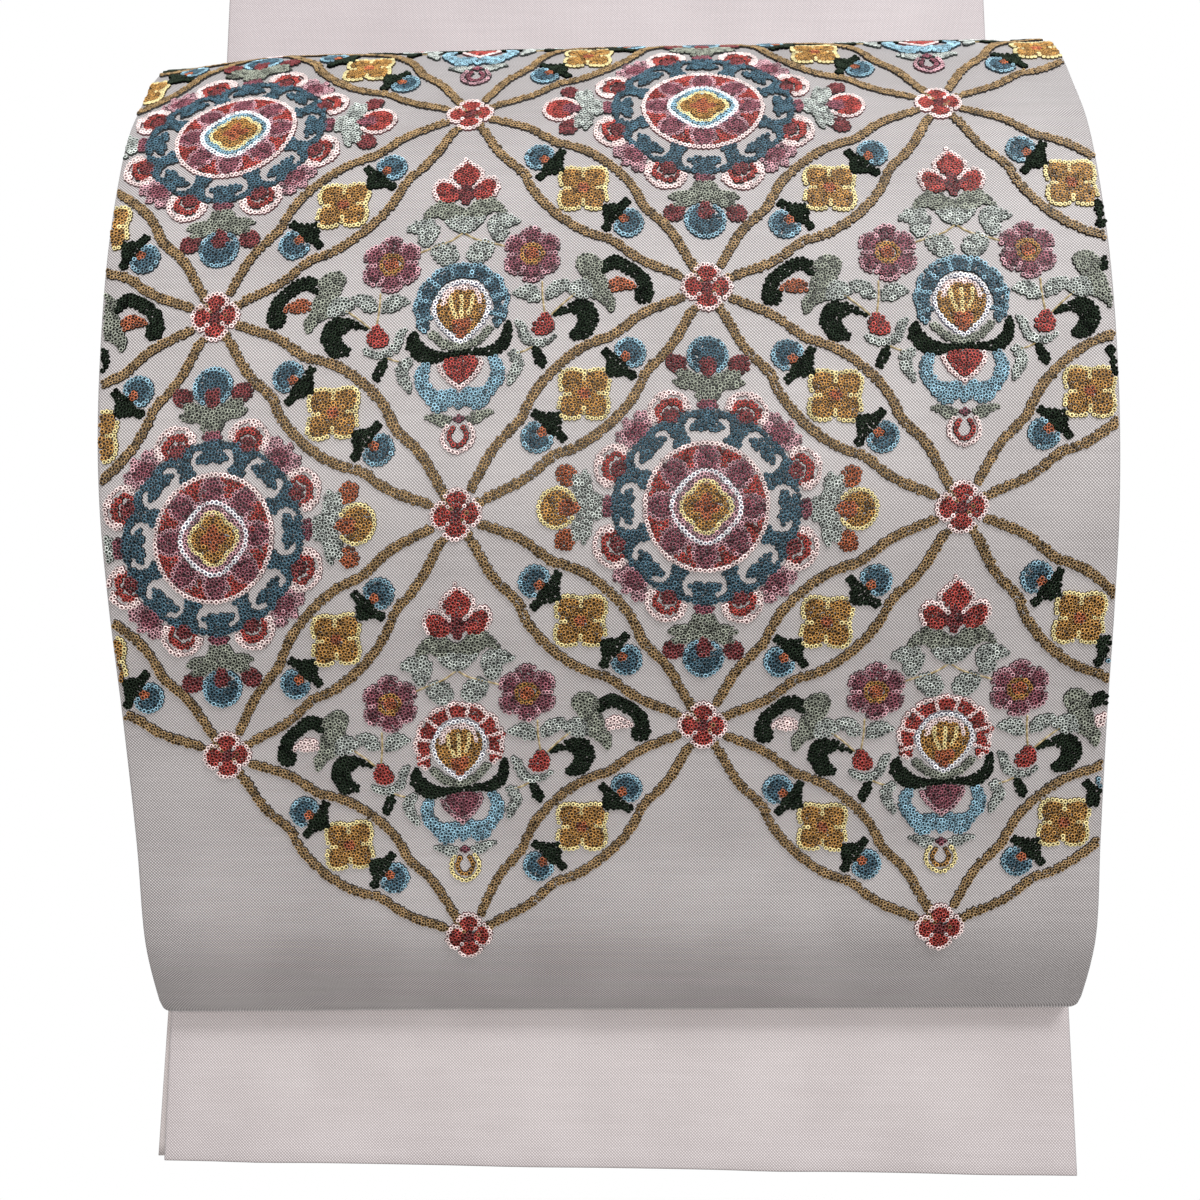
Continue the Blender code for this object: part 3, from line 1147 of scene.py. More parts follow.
class Figures:
    """The figures of the design, drawn from a few sizes each."""

    def __init__(self, column_mm: float, row_mm: float) -> None:
        """Keep the lattice's half steps.

        Args:
            column_mm: Half of the lattice's step across.
            row_mm: Half of its step along the band.
        """
        self.span = math.hypot(column_mm, row_mm)

    def floret(self) -> Motif:
        """The small red flower where four lenses meet.

        Returns:
            The drawn figure.
        """
        motif = Motif()
        motif.fill(ellipse(0.0, 0.0, 2.0, 2.0), Thread.CRIMSON)
        for turn in (45.0, 135.0, 225.0, 315.0):
            motif.row(placed([(3.5, 0.0), (5.2, 0.0)], 0.0, 0.0, turn), Thread.BLUSH, EDGE_KNOT_MM)
        motif.row(lobed(0.0, 0.0, 7.4, 0.24, 4), Thread.BLUSH, EDGE_KNOT_MM, closed=True, size=1.06)
        for turn in (0.0, 90.0, 180.0, 270.0):
            petal = [
                (1.6, 0.0), (2.6, 2.4), (4.8, 3.2), (6.7, 1.9), (6.7, -1.9), (4.8, -3.2), (2.6, -2.4)
            ]
            motif.fill(placed(rounded(petal), 0.0, 0.0, turn), Thread.RED)
        return motif

    def lens(self, bronze: Thread) -> Motif:
        """The pointed lens between two lattice points, along X, with a bud towards each tip.

        Args:
            bronze: The floss of its two ribbons.

        Returns:
            The drawn figure.
        """
        motif = Motif()
        run = (
            (0.03, 1.2), (0.10, 3.3), (0.17, 5.9), (0.225, 7.2), (0.28, 7.5), (0.32, 7.9),
            (0.345, 9.2), (0.41, 11.5),
        )
        half = [(share - 0.5, high) for share, high in run]
        whole = half + [(0.0, 12.4)] + [(-share, high) for share, high in reversed(half)]
        for side in (1, -1):
            line = rounded([(share * self.span, high * side) for share, high in whole], closed=False)
            motif.ribbon(line, bronze, 2.7, 1.12)
        calyx = [
            (9.2, -0.8), (10.7, 1.7), (12.2, 3.2), (12.8, 6.6), (14.9, 6.4), (15.2, 3.4), (15.7, 1.5),
            (15.8, -1.0),
        ]
        calyx += [(15.5, -3.0), (16.4, -6.2), (14.3, -7.0), (12.8, -4.3), (11.2, -2.7)]
        cup = [
            (15.6, 3.2), (17.2, 4.9), (20.4, 5.0), (23.2, 3.2), (24.2, 0.0), (23.2, -3.2),
            (20.4, -5.0), (17.2, -4.8), (15.9, -3.0),
        ]
        for turn in (0.0, 180.0):
            motif.fill(placed(ellipse(17.3, 0.0, 1.5, 1.5), 0, 0, turn), Thread.RUST)
            motif.fill(placed(rounded(calyx), 0, 0, turn), Thread.GREEN)
            motif.fill(placed(rounded(cup), 0, 0, turn), Thread.STEEL, Thread.SKY)
        return motif

    def gold_flower(self) -> Motif:
        """The square gold flower in the middle of a lens.

        Returns:
            The drawn figure.
        """
        motif = Motif()
        motif.fill(ellipse(0.0, 0.0, 1.9, 1.9), Thread.RUST)
        for turn in (0.0, 90.0, 180.0, 270.0):
            motif.row(placed([(4.6, 0.0), (6.0, 0.0)], 0, 0, turn), Thread.STRAW, EDGE_KNOT_MM)
        petal = [(7.9, 0.8), (8.5, 2.8), (8.4, 5.6), (7.4, 7.3), (5.6, 8.2), (2.8, 8.3), (0.8, 7.7)]
        outline = np.vstack([placed(np.array(petal), 0, 0, turn) for turn in (0.0, 90.0, 180.0, 270.0)])
        motif.fill(rounded([tuple(point) for point in outline]), Thread.GOLD, Thread.STRAW)
        return motif

    def _arm(
        self, motif: Motif, turn: float, leaf: Thread, bud: tuple[Thread, Thread], petal: Thread,
        heart: Thread,
    ) -> None:
        """One arm of a medallion: plum dot, leaf bowl, round bud and two side petals.

        Args:
            motif: The figure to draw on.
            turn: Turn of the arm in degrees.
            leaf: The floss of its bowl.
            bud: The flosses of its round bud and the bud's edge.
            petal: The floss of its side petals.
            heart: The floss of the drop in its bowl.
        """
        motif.fill(placed(ellipse(0.0, 30.6, 3.4, 1.9), 0, 0, turn), Thread.PLUM)
        drop = rounded([(0.0, 39.2), (2.6, 42.6), (1.7, 45.6), (-1.7, 45.6), (-2.6, 42.6)])
        motif.fill(placed(drop, 0, 0, turn), heart)
        side = [
            (3.2, 32.6), (4.4, 35.2), (8.6, 36.0), (11.3, 38.0), (9.4, 39.2), (10.0, 41.2),
            (6.2, 41.9), (3.0, 40.4),
        ]
        bowl = [(0.0, 32.0), *side, (0.0, 40.0), *[(-x, y) for x, y in reversed(side)]]
        motif.fill(placed(rounded(bowl), 0, 0, turn), leaf)
        motif.fill(placed(ellipse(0.0, 46.3, 6.6, 6.4), 0, 0, turn), *bud)
        for flip in (1, -1):
            block = [(6.6, 41.4), (9.8, 40.4), (12.8, 42.8), (12.0, 46.4), (9.0, 46.6), (6.8, 45.2)]
            motif.fill(placed(mirrored(rounded(block), flip), 0, 0, turn), petal)

    def medallion(self, colours: MedallionColours) -> Motif:
        """The round medallion.

        Args:
            colours: Its changing flosses.

        Returns:
            The drawn figure.
        """
        motif = Motif()
        motif.fill(lobed(0.0, 0.0, 4.2, 0.5, 4), Thread.RUST)
        motif.fill(lobed(0.0, 0.0, 8.6, 0.20, 4), Thread.GOLD, Thread.STRAW)
        motif.row(wavy(10.3, 0.055, 4), Thread.WHITE, 1.5, closed=True, size=1.12)
        motif.fill_where(lambda r, a: (r > 7.0) & (r < 10.4 + 0.5 * np.cos(4 * a)), 11.5, colours.halo)
        motif.row(ellipse(0.0, 0.0, 19.1, 19.1), Thread.BLUSH, 1.5, closed=True, size=1.1)
        for index in range(8):
            for flip in (1, -1):
                seam = [(3.5 * flip, 12.3), (3.9 * flip, 13.8), (3.6 * flip, 15.6), (2.3 * flip, 17.6)]
                motif.row(
                    placed(rounded(seam, closed=False), 0, 0, 45.0 * index), Thread.MAUVE, KNOT_MM
                )
        motif.fill_where(lambda r, a: (r > 10.9) & (r < 18.3) & self._petal(r, a), 18.5, Thread.PLUM)
        motif.fill_where(lambda r, a: (r > 10.4) & (r < 12.6), 13.0, Thread.MAUVE)
        motif.fill_where(lambda r, a: (r > 12.4) & (r < 18.3), 18.5, Thread.RED)
        for index in range(8):
            turn = 45.0 * index + 22.5
            for reach, wide in ((37.0, 6.3), (35.7, 5.1)):
                arch = [(-wide + 0.3, 30.0), (-wide, 31.8), (-wide * 0.74, 34.9), (0.0, reach)]
                arch += [(-x, y) for x, y in reversed(arch[:-1])]
                motif.row(
                    placed(rounded(arch, closed=False), 0, 0, turn), Thread.BLUSH, EDGE_KNOT_MM,
                    size=1.06,
                )
            motif.fill(placed(ellipse(0.0, 29.6, 2.7, 2.3), 0, 0, turn), Thread.CRIMSON)
            bend = [(-4.0, 30.0), (-3.6, 32.2), (0.0, 33.9), (3.6, 32.2), (4.0, 30.0)]
            motif.ribbon(placed(rounded(bend, closed=False), 0, 0, turn), Thread.RED, 2.1)
        for index in range(4):
            turn = 45.0 + 90.0 * index
            motif.fill(placed(ellipse(0.0, 31.4, 3.7, 2.7), 0, 0, turn), Thread.PLUM)
            fan = [
                (0.0, 28.8), (5.4, 29.4), (6.9, 31.6), (6.4, 34.2), (4.2, 35.8), (2.2, 34.8),
                (0.0, 37.0),
            ]
            fan += [(-x, y) for x, y in reversed(fan[1:-1])]
            motif.fill(placed(rounded(fan), 0, 0, turn), Thread.MAUVE)
        motif.fill_where(self._cloud_ring, 30.0, Thread.STEEL)
        for turn in (0.0, 180.0):
            self._arm(
                motif, turn, Thread.SAGE, (Thread.STEEL, Thread.SKY), Thread.CRIMSON, Thread.CRIMSON
            )
        for turn in (90.0, 270.0):
            bud = (colours.side_bud, colours.side_edge)
            self._arm(motif, turn, Thread.MIST, bud, colours.side_petal, colours.side_heart)
        return motif

    def _petal(self, radius: Array, angle: Array) -> Array:
        """Where the eight plum petals of the medallion lie."""
        across, up = self._off(radius, angle)
        return across < 3.3 - 0.09 * (up - 14.0) ** 2

    @staticmethod
    def _off(radius: Array, angle: Array) -> tuple[Array, Array]:
        """Distance across from the nearest of eight spokes, and distance out along it.

        Args:
            radius: Distances from the centre.
            angle: Angles round it.

        Returns:
            The two distances.
        """
        step = math.pi / 4
        off = (angle + step / 2) % step - step / 2
        return np.abs(radius * np.sin(off)), radius * np.cos(off)

    def _cloud_ring(self, radius: Array, angle: Array) -> Array:
        """Where the blue ring of eight cloud heads lies, its pale curls left out.

        Args:
            radius: Distances from the centre.
            angle: Angles round it.

        Returns:
            True where a place belongs to the ring.
        """
        across, up = self._off(radius, angle)
        horn = rounded([(4.4, 20.9), (5.9, 22.0), (6.2, 24.2), (5.4, 25.8), (4.2, 26.2)], closed=False)
        places = np.stack([across, up], axis=-1).reshape(-1, 2)
        clear = np.full(len(places), FAR_MM)
        close = (places[:, 1] > 19.0) & (places[:, 1] < 30.0)
        clear[close] = nearest(places[close], horn)[1]
        clear = clear.reshape(across.shape)
        bowl = (across > 5.2) | (up > 23.3 - 0.8 * np.abs(np.sin(0.75 * across)))
        return bowl & (clear > 0.92) & (radius > 19.7) & (radius < 29.4 + 0.4 * np.cos(16.0 * angle))

    def palmette(self, colours: PalmetteColours) -> Motif:
        """The bouquet with a lotus, two asters and scrolling leaves.

        Args:
            colours: Its changing flosses.

        Returns:
            The drawn figure.
        """
        motif = Motif()
        self._lotus(motif, colours)
        self._crest(motif)
        self._basin(motif, colours)
        for side in (1, -1):
            self._sprays(motif, colours, side)
        return motif

    def _lotus(self, motif: Motif, colours: PalmetteColours) -> None:
        """The lotus: a domed heart ringed by nine petals, in a green cradle.

        Args:
            motif: The figure to draw on.
            colours: Its changing flosses.
        """
        motif.fill(
            rounded([(0.0, -14.6), (2.8, -11.2), (2.4, -8.2), (-2.4, -8.2), (-2.8, -11.2)]),
            Thread.RUST,
        )
        dome = [
            (0.0, 4.0), (5.0, 2.5), (7.9, -1.6), (8.3, -5.4), (6.6, -9.4), (3.8, -12.6), (0.0, -15.6)
        ]
        dome += [(-x, y) for x, y in reversed(dome[1:-1])]
        motif.row(rounded(dome), Thread.WHITE, 1.55, closed=True, size=1.08)
        motif.ribbon(
            rounded([(-5.6, -2.6), (-4.4, 0.8), (0.0, 2.3), (4.4, 0.8), (5.6, -2.6)], closed=False),
            Thread.BLUSH, 1.8,
        )
        for shift in (-3.1, 0.0, 3.1):
            stripe = [(shift * 0.5, -7.6), (shift, -4.0), (shift * 1.1, -0.8)]
            motif.row(rounded(stripe, closed=False), Thread.STRAW, KNOT_MM)
        motif.fill(rounded([(x * 0.9, y * 0.9 - 0.6) for x, y in dome]), Thread.GOLD)
        for index in range(8):
            turn = math.radians(-20.0 + 31.4 * index)
            c, s = math.cos(turn), math.sin(turn)
            motif.row(
                [(10.0 * c, 9.6 * s - 3.6), (14.0 * c, 13.4 * s - 3.6)], colours.lotus_edge, KNOT_MM
            )
        outer = []
        for step in range(109):
            turn = math.radians(-36.0 + 2.33 * step)
            swell = 1.0 - 0.07 * (
                1.0 - abs(
                    math.sin(math.radians(180.0 * (step - 109.0 / 9.0 * 0.07) / (109.0 / 9.0)))
                ) ** 0.7
            )
            outer.append((15.0 * swell * math.cos(turn), 14.0 * swell * math.sin(turn) - 3.6))
        inner = [
            (9.6, -10.4), (9.6, -3.0), (5.6, 3.6), (0.0, 5.4), (-5.6, 3.6), (-9.6, -3.0),
            (-9.6, -10.4),
        ]
        ring = np.vstack([np.array(outer), rounded(inner, closed=False)[::-1]])
        motif.row(np.array(outer) * (0.96, 0.96), colours.lotus_edge, EDGE_KNOT_MM, size=1.05)
        motif.fill(ring, colours.lotus)
        under = [(-8.6, -12.4), (-5.0, -15.8), (0.0, -17.0), (5.0, -15.6), (8.6, -12.0)]
        motif.ribbon(rounded(under, closed=False), Thread.SAGE, 2.6)
        cradle = [
            (-14.2, -10.6), (-16.8, -14.2), (-15.8, -17.6), (-12.6, -20.6), (-8.6, -21.8),
            (-4.6, -20.8), (0.0, -20.0),
        ]
        cradle += [
            (5.0, -20.2), (9.6, -21.0), (13.8, -18.8), (15.6, -14.8), (15.0, -9.8), (13.4, -10.8),
            (12.0, -14.8),
        ]
        cradle += [
            (8.4, -17.4), (4.2, -18.0), (0.0, -17.9), (-4.8, -18.4), (-8.8, -17.2), (-12.0, -14.4)
        ]
        motif.fill(rounded(cradle), Thread.GREEN)

    def _crest(self, motif: Motif) -> None:
        """The red trefoil over its sage arch and pale leaves, with the asters' stem.

        Args:
            motif: The figure to draw on.
        """
        heart = [
            (0.4, 30.4), (3.6, 34.6), (6.0, 36.6), (2.6, 37.6), (0.4, 38.8), (-1.8, 37.6),
            (-5.2, 36.6), (-2.8, 34.6),
        ]
        for side in (1, -1):
            motif.row(
                placed(mirrored(np.array([(4.2, 38.8), (2.4, 37.0)]), side), 0.4, 0.0), Thread.BLUSH,
                EDGE_KNOT_MM,
            )
        motif.fill(rounded(heart), Thread.CRIMSON)
        edge = [
            (-9.2, 33.6), (-10.4, 37.2), (-8.4, 40.2), (-4.8, 39.6), (-5.2, 42.2), (-3.2, 44.8),
            (-1.0, 46.4),
        ]
        edge += [(-0.4, 48.4)] + [(-x, y) for x, y in reversed(edge)]
        edge = [(x + 0.4, y) for x, y in edge]
        motif.row(rounded(edge, closed=False), Thread.BLUSH, EDGE_KNOT_MM, size=1.05)
        top = [
            (0.4, 37.0), (-3.4, 40.0), (-3.6, 42.4), (-1.6, 44.8), (0.4, 47.0), (2.4, 44.8),
            (4.4, 42.4), (4.2, 40.0),
        ]
        motif.fill(rounded(top), Thread.RED)
        for side in (1, -1):
            petal = [(2.4, 34.2), (4.4, 38.4), (8.4, 39.2), (9.8, 35.8), (7.8, 32.6), (4.4, 31.8)]
            motif.fill(placed(mirrored(rounded(petal), side), 0.4, 0.0), Thread.RED)
        arch = [
            (-13.0, 26.2), (-12.0, 29.6), (-8.4, 32.4), (-4.6, 32.8), (0.3, 29.4), (5.2, 32.8),
            (9.0, 32.4), (12.6, 29.6), (13.6, 26.6),
        ]
        arch += [(9.6, 27.4), (5.6, 25.6), (0.3, 26.4), (-5.0, 25.6), (-9.0, 27.0)]
        motif.fill(rounded(arch), Thread.SAGE)
        middle = [(-5.8, 26.0), (0.3, 27.2), (6.4, 26.0), (5.0, 22.9), (0.3, 20.4), (-4.4, 22.9)]
        motif.fill(rounded(middle), Thread.MIST)
        for side in (1, -1):
            leaf = [
                (18.2, 23.0), (15.0, 26.2), (10.2, 26.6), (7.8, 23.6), (8.4, 19.8), (11.2, 16.6),
                (14.0, 18.6), (14.4, 21.4),
            ]
            motif.fill(mirrored(rounded(leaf), side), Thread.MIST)
            low = [(1.2, 12.2), (3.0, 16.6), (7.4, 17.8), (10.0, 15.6), (8.4, 11.6), (4.8, 9.8)]
            motif.fill(mirrored(rounded(low), side), Thread.MIST)
            motif.stems.append(
                mirrored(
                    rounded([(0.3, 20.6), (4.0, 18.2), (9.4, 16.4), (13.6, 15.0)], closed=False), side
                )
            )

    def _basin(self, motif: Motif, colours: PalmetteColours) -> None:
        """The hanging drop in its sky-blue basin, with the ring bud below.

        Args:
            motif: The figure to draw on.
            colours: Its changing flosses.
        """
        rim = [
            (-6.0, -21.4), (-6.3, -23.4), (-4.2, -26.8), (-1.4, -29.2), (0.0, -30.2), (1.4, -29.2),
            (4.2, -26.8), (6.3, -23.4), (6.0, -21.4),
        ]
        motif.row(rounded(rim, closed=False), colours.drop_edge, EDGE_KNOT_MM, size=1.05)
        motif.fill(
            rounded(
                [
                    (0.0, -28.8), (3.6, -25.8), (5.2, -22.6), (3.8, -20.4), (-3.8, -20.4),
                    (-5.2, -22.6), (-3.6, -25.8),
                ]
            ),
            colours.drop,
        )
        right = [
            (2.2, -35.8), (4.8, -37.6), (8.0, -36.4), (10.4, -33.0), (13.2, -29.2), (13.6, -25.0),
            (11.6, -21.2), (8.8, -20.9),
        ]
        right += [(9.4, -24.0), (9.4, -27.2), (7.6, -29.8), (4.4, -30.6), (2.2, -30.0)]
        basin = [(0.0, -36.8), *right, (0.0, -31.8), *[(-x, y) for x, y in reversed(right)]]
        motif.fill(rounded(basin), Thread.SKY)
        motif.fill(ellipse(0.0, -39.8, 1.7, 1.3), Thread.PLUM)
        bud = [(-1.6, -42.6), (-2.7, -45.2), (-1.5, -47.5), (0.0, -48.1)]
        bud += [(-x, y) for x, y in reversed(bud[:-1])]
        motif.row(rounded(bud, closed=False), colours.bud, 1.2, size=1.05)
        husk = [(-3.4, -41.9), (-4.6, -44.6), (-4.0, -47.8), (0.0, -50.2)]
        husk += [(-x, y) for x, y in reversed(husk[:-1])]
        motif.row(rounded(husk, closed=False), colours.bud_edge, EDGE_KNOT_MM, size=1.05)
        for side in (1, -1):
            leaf = [(2.0, -39.6), (5.6, -37.9), (10.8, -38.2), (7.8, -40.4), (4.6, -42.0)]
            motif.fill(mirrored(rounded(leaf), side), colours.frill)
            tall = [
                (14.6, -19.8), (18.4, -19.9), (19.6, -23.8), (17.8, -27.8), (15.0, -30.6),
                (14.6, -27.4), (16.0, -24.4),
            ]
            motif.fill(mirrored(rounded(tall), side), Thread.MIST)

    def _sprays(self, motif: Motif, colours: PalmetteColours, side: int) -> None:
        """One side's aster, leaves, small bud and hooked leaf.

        Args:
            motif: The figure to add to.
            colours: Its changing flosses.
            side: 1 for the right, -1 for the left.
        """
        x = 22.0 * side
        motif.fill(ellipse(x, 11.8, 2.2, 2.2), Thread.RUST)
        motif.fill(ellipse(x, 11.8, 4.0, 3.9), Thread.GOLD)
        for index in range(6):
            motif.row(placed([(5.2, 0.0), (7.4, 0.0)], x, 11.8, 60.0 * index), Thread.MAUVE, KNOT_MM)
        motif.fill(lobed(x, 11.8, 9.7, 0.16, 6, 30.0), Thread.PLUM, Thread.MAUVE)
        inward = [(24.8, -3.4), (23.6, 0.4), (20.2, 1.6), (15.8, -0.8), (19.6, -3.2), (22.4, -4.4)]
        outward = [(26.2, -3.2), (26.6, 0.4), (29.6, 2.6), (34.0, 2.4), (32.6, -0.6), (29.4, -3.0)]
        for leaf in (inward, outward):
            motif.fill(mirrored(rounded(leaf), side), Thread.MIST)
        motif.stems.append(
            mirrored(rounded([(25.2, 2.6), (25.3, -2.4), (26.0, -8.0)], closed=False), side)
        )
        bud = [(26.2, -7.6), (28.6, -10.6), (28.2, -13.8), (25.0, -15.2), (22.2, -13.8), (22.8, -10.8)]
        motif.fill(mirrored(rounded(bud), side), Thread.RED)
        cup = [
            (16.6, -9.6), (19.8, -10.8), (21.0, -14.4), (24.8, -16.4), (29.6, -14.8), (28.4, -17.4),
            (24.0, -18.8), (19.4, -17.2), (17.8, -13.6),
        ]
        motif.fill(mirrored(rounded(cup), side), Thread.MIST)
        motif.stems.append(
            mirrored(rounded([(22.4, -18.6), (19.8, -19.8), (17.4, -20.4)], closed=False), side)
        )
        comma = [
            (22.4, -18.4), (25.0, -20.0), (26.6, -23.6), (25.2, -25.8), (23.2, -23.6), (22.4, -21.2)
        ]
        motif.fill(mirrored(rounded(comma), side), Thread.GREEN)
        motif.stems.append(
            mirrored(rounded([(28.0, -8.6), (31.4, -5.4), (35.6, -2.0)], closed=False), side)
        )
        hook = [
            (28.4, -9.0), (31.4, -6.2), (36.4, -4.0), (40.4, -4.8), (42.9, -9.0), (42.2, -13.0),
            (39.6, -16.6), (35.6, -16.9), (33.6, -15.2),
        ]
        hook += [(36.0, -12.6), (36.3, -9.8), (33.8, -8.2), (31.0, -8.6)]
        motif.fill(mirrored(rounded(hook), side), Thread.GREEN)
        pale = [(33.0, -0.8), (36.2, 2.4), (39.4, 2.6), (41.2, -0.6), (41.0, -3.4), (36.8, -3.6)]
        motif.fill(mirrored(rounded(pale), side), Thread.MIST)
        tongue = [(46.6, 1.8), (49.6, 3.2), (53.2, 2.0), (55.2, -0.4), (51.0, -1.4), (47.0, -1.4)]
        motif.fill(mirrored(rounded(tongue), side), colours.tongue)
        sage = [
            (36.0, 8.0), (38.0, 11.0), (41.8, 10.8), (44.8, 8.0), (43.8, 5.0), (45.6, 3.0),
            (46.4, -1.0), (48.4, -4.4),
        ]
        sage += [(47.2, -8.4), (44.0, -5.2), (41.0, -3.6), (40.4, 0.0), (37.8, 3.4)]
        motif.fill(mirrored(rounded(sage), side), Thread.SAGE)
        claw = [(44.9, 6.6), (48.6, 8.3), (53.0, 6.0), (56.9, 2.6), (58.4, -2.4)]
        motif.ribbon(mirrored(rounded(claw, closed=False), side), Thread.GREEN, 4.2)
        motif.fill(ellipse(57.2 * side, -2.6, 2.9, 3.3), Thread.GREEN)


# ---------------------------------------------------------------- the whole design on the band


@dataclass
class Design:
    """The lattice of lenses with its medallions, palmettes and florets, over the whole band.

    Places are worked out on an even lattice and then carried to the cloth, which was
    stitched by hand and lies a little askew, so no two repeats are quite alike.
    """

    column: float = 77.0
    row: float = 68.7
    first_column: float = -125.0
    first_row: float = -74.6
    columns: tuple[int, int] = (-1, 4)
    rows: tuple[int, int] = (-2, 4)
    bare: tuple[tuple[int, int], ...] = ((-1, 3), (4, 0), (4, 2))
    edge: float = 153.9
    seed: int = 11

    def place(self, i: int, j: int) -> tuple[float, float]:
        """Where a lattice point lies, across and along the band."""
        return self.first_column + self.column * i, self.first_row - self.row * j

    @staticmethod
    def to_cloth(p: Array, q: Array) -> tuple[Array, Array]:
        """Carry lattice places to places on the cloth.

        Args:
            p: Across.
            q: Along, 0 at the crown and negative down the front.

        Returns:
            The same for the cloth as it lies.
        """
        bow = np.clip((40.0 - p) / 165.0, 0.0, None) ** 2
        u = p + 3.6 * bow + 0.0185 * (q + 212.0)
        v = q - 9.3 * bow
        u = u + 0.7 * np.sin(0.031 * q + 0.9) + 0.5 * np.sin(0.047 * p + 0.02 * q)
        v = v + 0.7 * np.sin(0.037 * p + 2.1) + 0.5 * np.sin(0.052 * q - 0.6)
        return u, v

    def draw(self) -> Motif:
        """Draw every figure once and tie copies of it over the band.

        Returns:
            All knots and stems, in lattice places.
        """
        figures = Figures(self.column, self.row)
        whole = Motif()
        low_i, high_i = self.columns
        low_j, high_j = self.rows
        floret = figures.floret()
        for i in range(low_i, high_i + 1):
            for j in range(low_j, high_j + 1):
                if (i + j) % 2:
                    whole.merge(floret, *self.place(i, j), 0.0)
        LOG.info("florets tied")
        silver = MedallionColours(Thread.SKY, Thread.RED, Thread.BLUSH, Thread.CRIMSON, Thread.PLUM)
        warm = MedallionColours(Thread.MAUVE, Thread.GOLD, Thread.STRAW, Thread.RUST, Thread.RUST)
        medallions = {0: figures.medallion(silver), 2: figures.medallion(warm)}
        LOG.info("medallions drawn")
        red = PalmetteColours(
            Thread.RED, Thread.BLUSH, Thread.BLUSH, Thread.RED,
            Thread.BLUSH, Thread.PLUM, Thread.MAUVE, Thread.MIST,
        )
        blue = PalmetteColours(
            Thread.STEEL, Thread.SKY, Thread.RUST, Thread.RED,
            Thread.BLUSH, Thread.RED, Thread.BLUSH, Thread.SAGE,
        )
        wine = PalmetteColours(
            Thread.RED, Thread.BLUSH, Thread.BLUSH, Thread.PLUM,
            Thread.MAUVE, Thread.GOLD, Thread.STRAW, Thread.MIST,
        )
        palmettes = {-1: figures.palmette(red), 1: figures.palmette(blue), 3: figures.palmette(wine)}
        LOG.info("palmettes drawn")
        for i in range(low_i, high_i + 1):
            for j, figure in (palmettes if i % 2 else medallions).items():
                if (i, j) not in self.bare:
                    whole.merge(figure, *self.place(i, j), 0.0)
        gold = figures.gold_flower()
        rising = figures.lens(Thread.BRONZE_RISING)
        falling = figures.lens(Thread.BRONZE_FALLING)
        slope = math.degrees(math.atan2(self.row, self.column))
        for i in range(low_i, high_i):
            for j in range(low_j, high_j):
                if (i, j) in self.bare:
                    continue
                x, y = self.place(i, j)
                lens, turn = (falling, -slope) if (i + j) % 2 else (rising, slope)
                whole.merge(lens, x + self.column / 2, y - self.row / 2, turn)
                whole.merge(gold, x + self.column / 2, y - self.row / 2, 0.0)
        LOG.info("lattice tied: %d knots", len(whole.knots))
        return whole


@dataclass
class KnotShape:
    """One seed knot: a squat ring of floss with a hollow where the needle went back down."""

    sides: int = 5
    skirt: float = 1.02
    crest: float = 0.61
    height: float = 0.92
    hollow: float = 0.92

    def model(self) -> tuple[Array, list[tuple[int, ...]], Array]:
        """Model the knot in millimetres.

        Returns:
            Its points, its faces and how near each point is to the crest.
        """
        bpy.ops.mesh.primitive_circle_add(vertices=self.sides, radius=self.skirt, fill_type="NGON")
        knot = bpy.context.object
        bpy.ops.object.mode_set(mode="EDIT")
        bpy.ops.mesh.select_all(action="SELECT")
        bpy.ops.mesh.extrude_region_move(TRANSFORM_OT_translate={"value": (0.0, 0.0, self.height)})
        ratio = self.crest / self.skirt
        bpy.ops.transform.resize(value=(ratio, ratio, 1.0), center_override=(0.0, 0.0, self.height))
        bpy.ops.mesh.poke(offset=0.0)
        bpy.ops.mesh.select_all(action="DESELECT")
        bpy.ops.mesh.select_face_by_sides(number=self.sides, extend=False)
        bpy.ops.mesh.delete(type="ONLY_FACE")
        bpy.ops.object.mode_set(mode="OBJECT")
        points = np.array([vertex.co[:] for vertex in knot.data.vertices])
        reach = np.hypot(points[:, 0], points[:, 1])
        middle = (reach < 0.5 * self.crest) & (points[:, 2] > 0.5 * self.height)
        points[middle, 2] -= self.hollow
        crest = ((points[:, 2] > 0.5 * self.height) & ~middle).astype(float)
        faces = [tuple(face.vertices) for face in knot.data.polygons]
        bpy.data.objects.remove(knot, do_unlink=True)
        return points, faces, crest


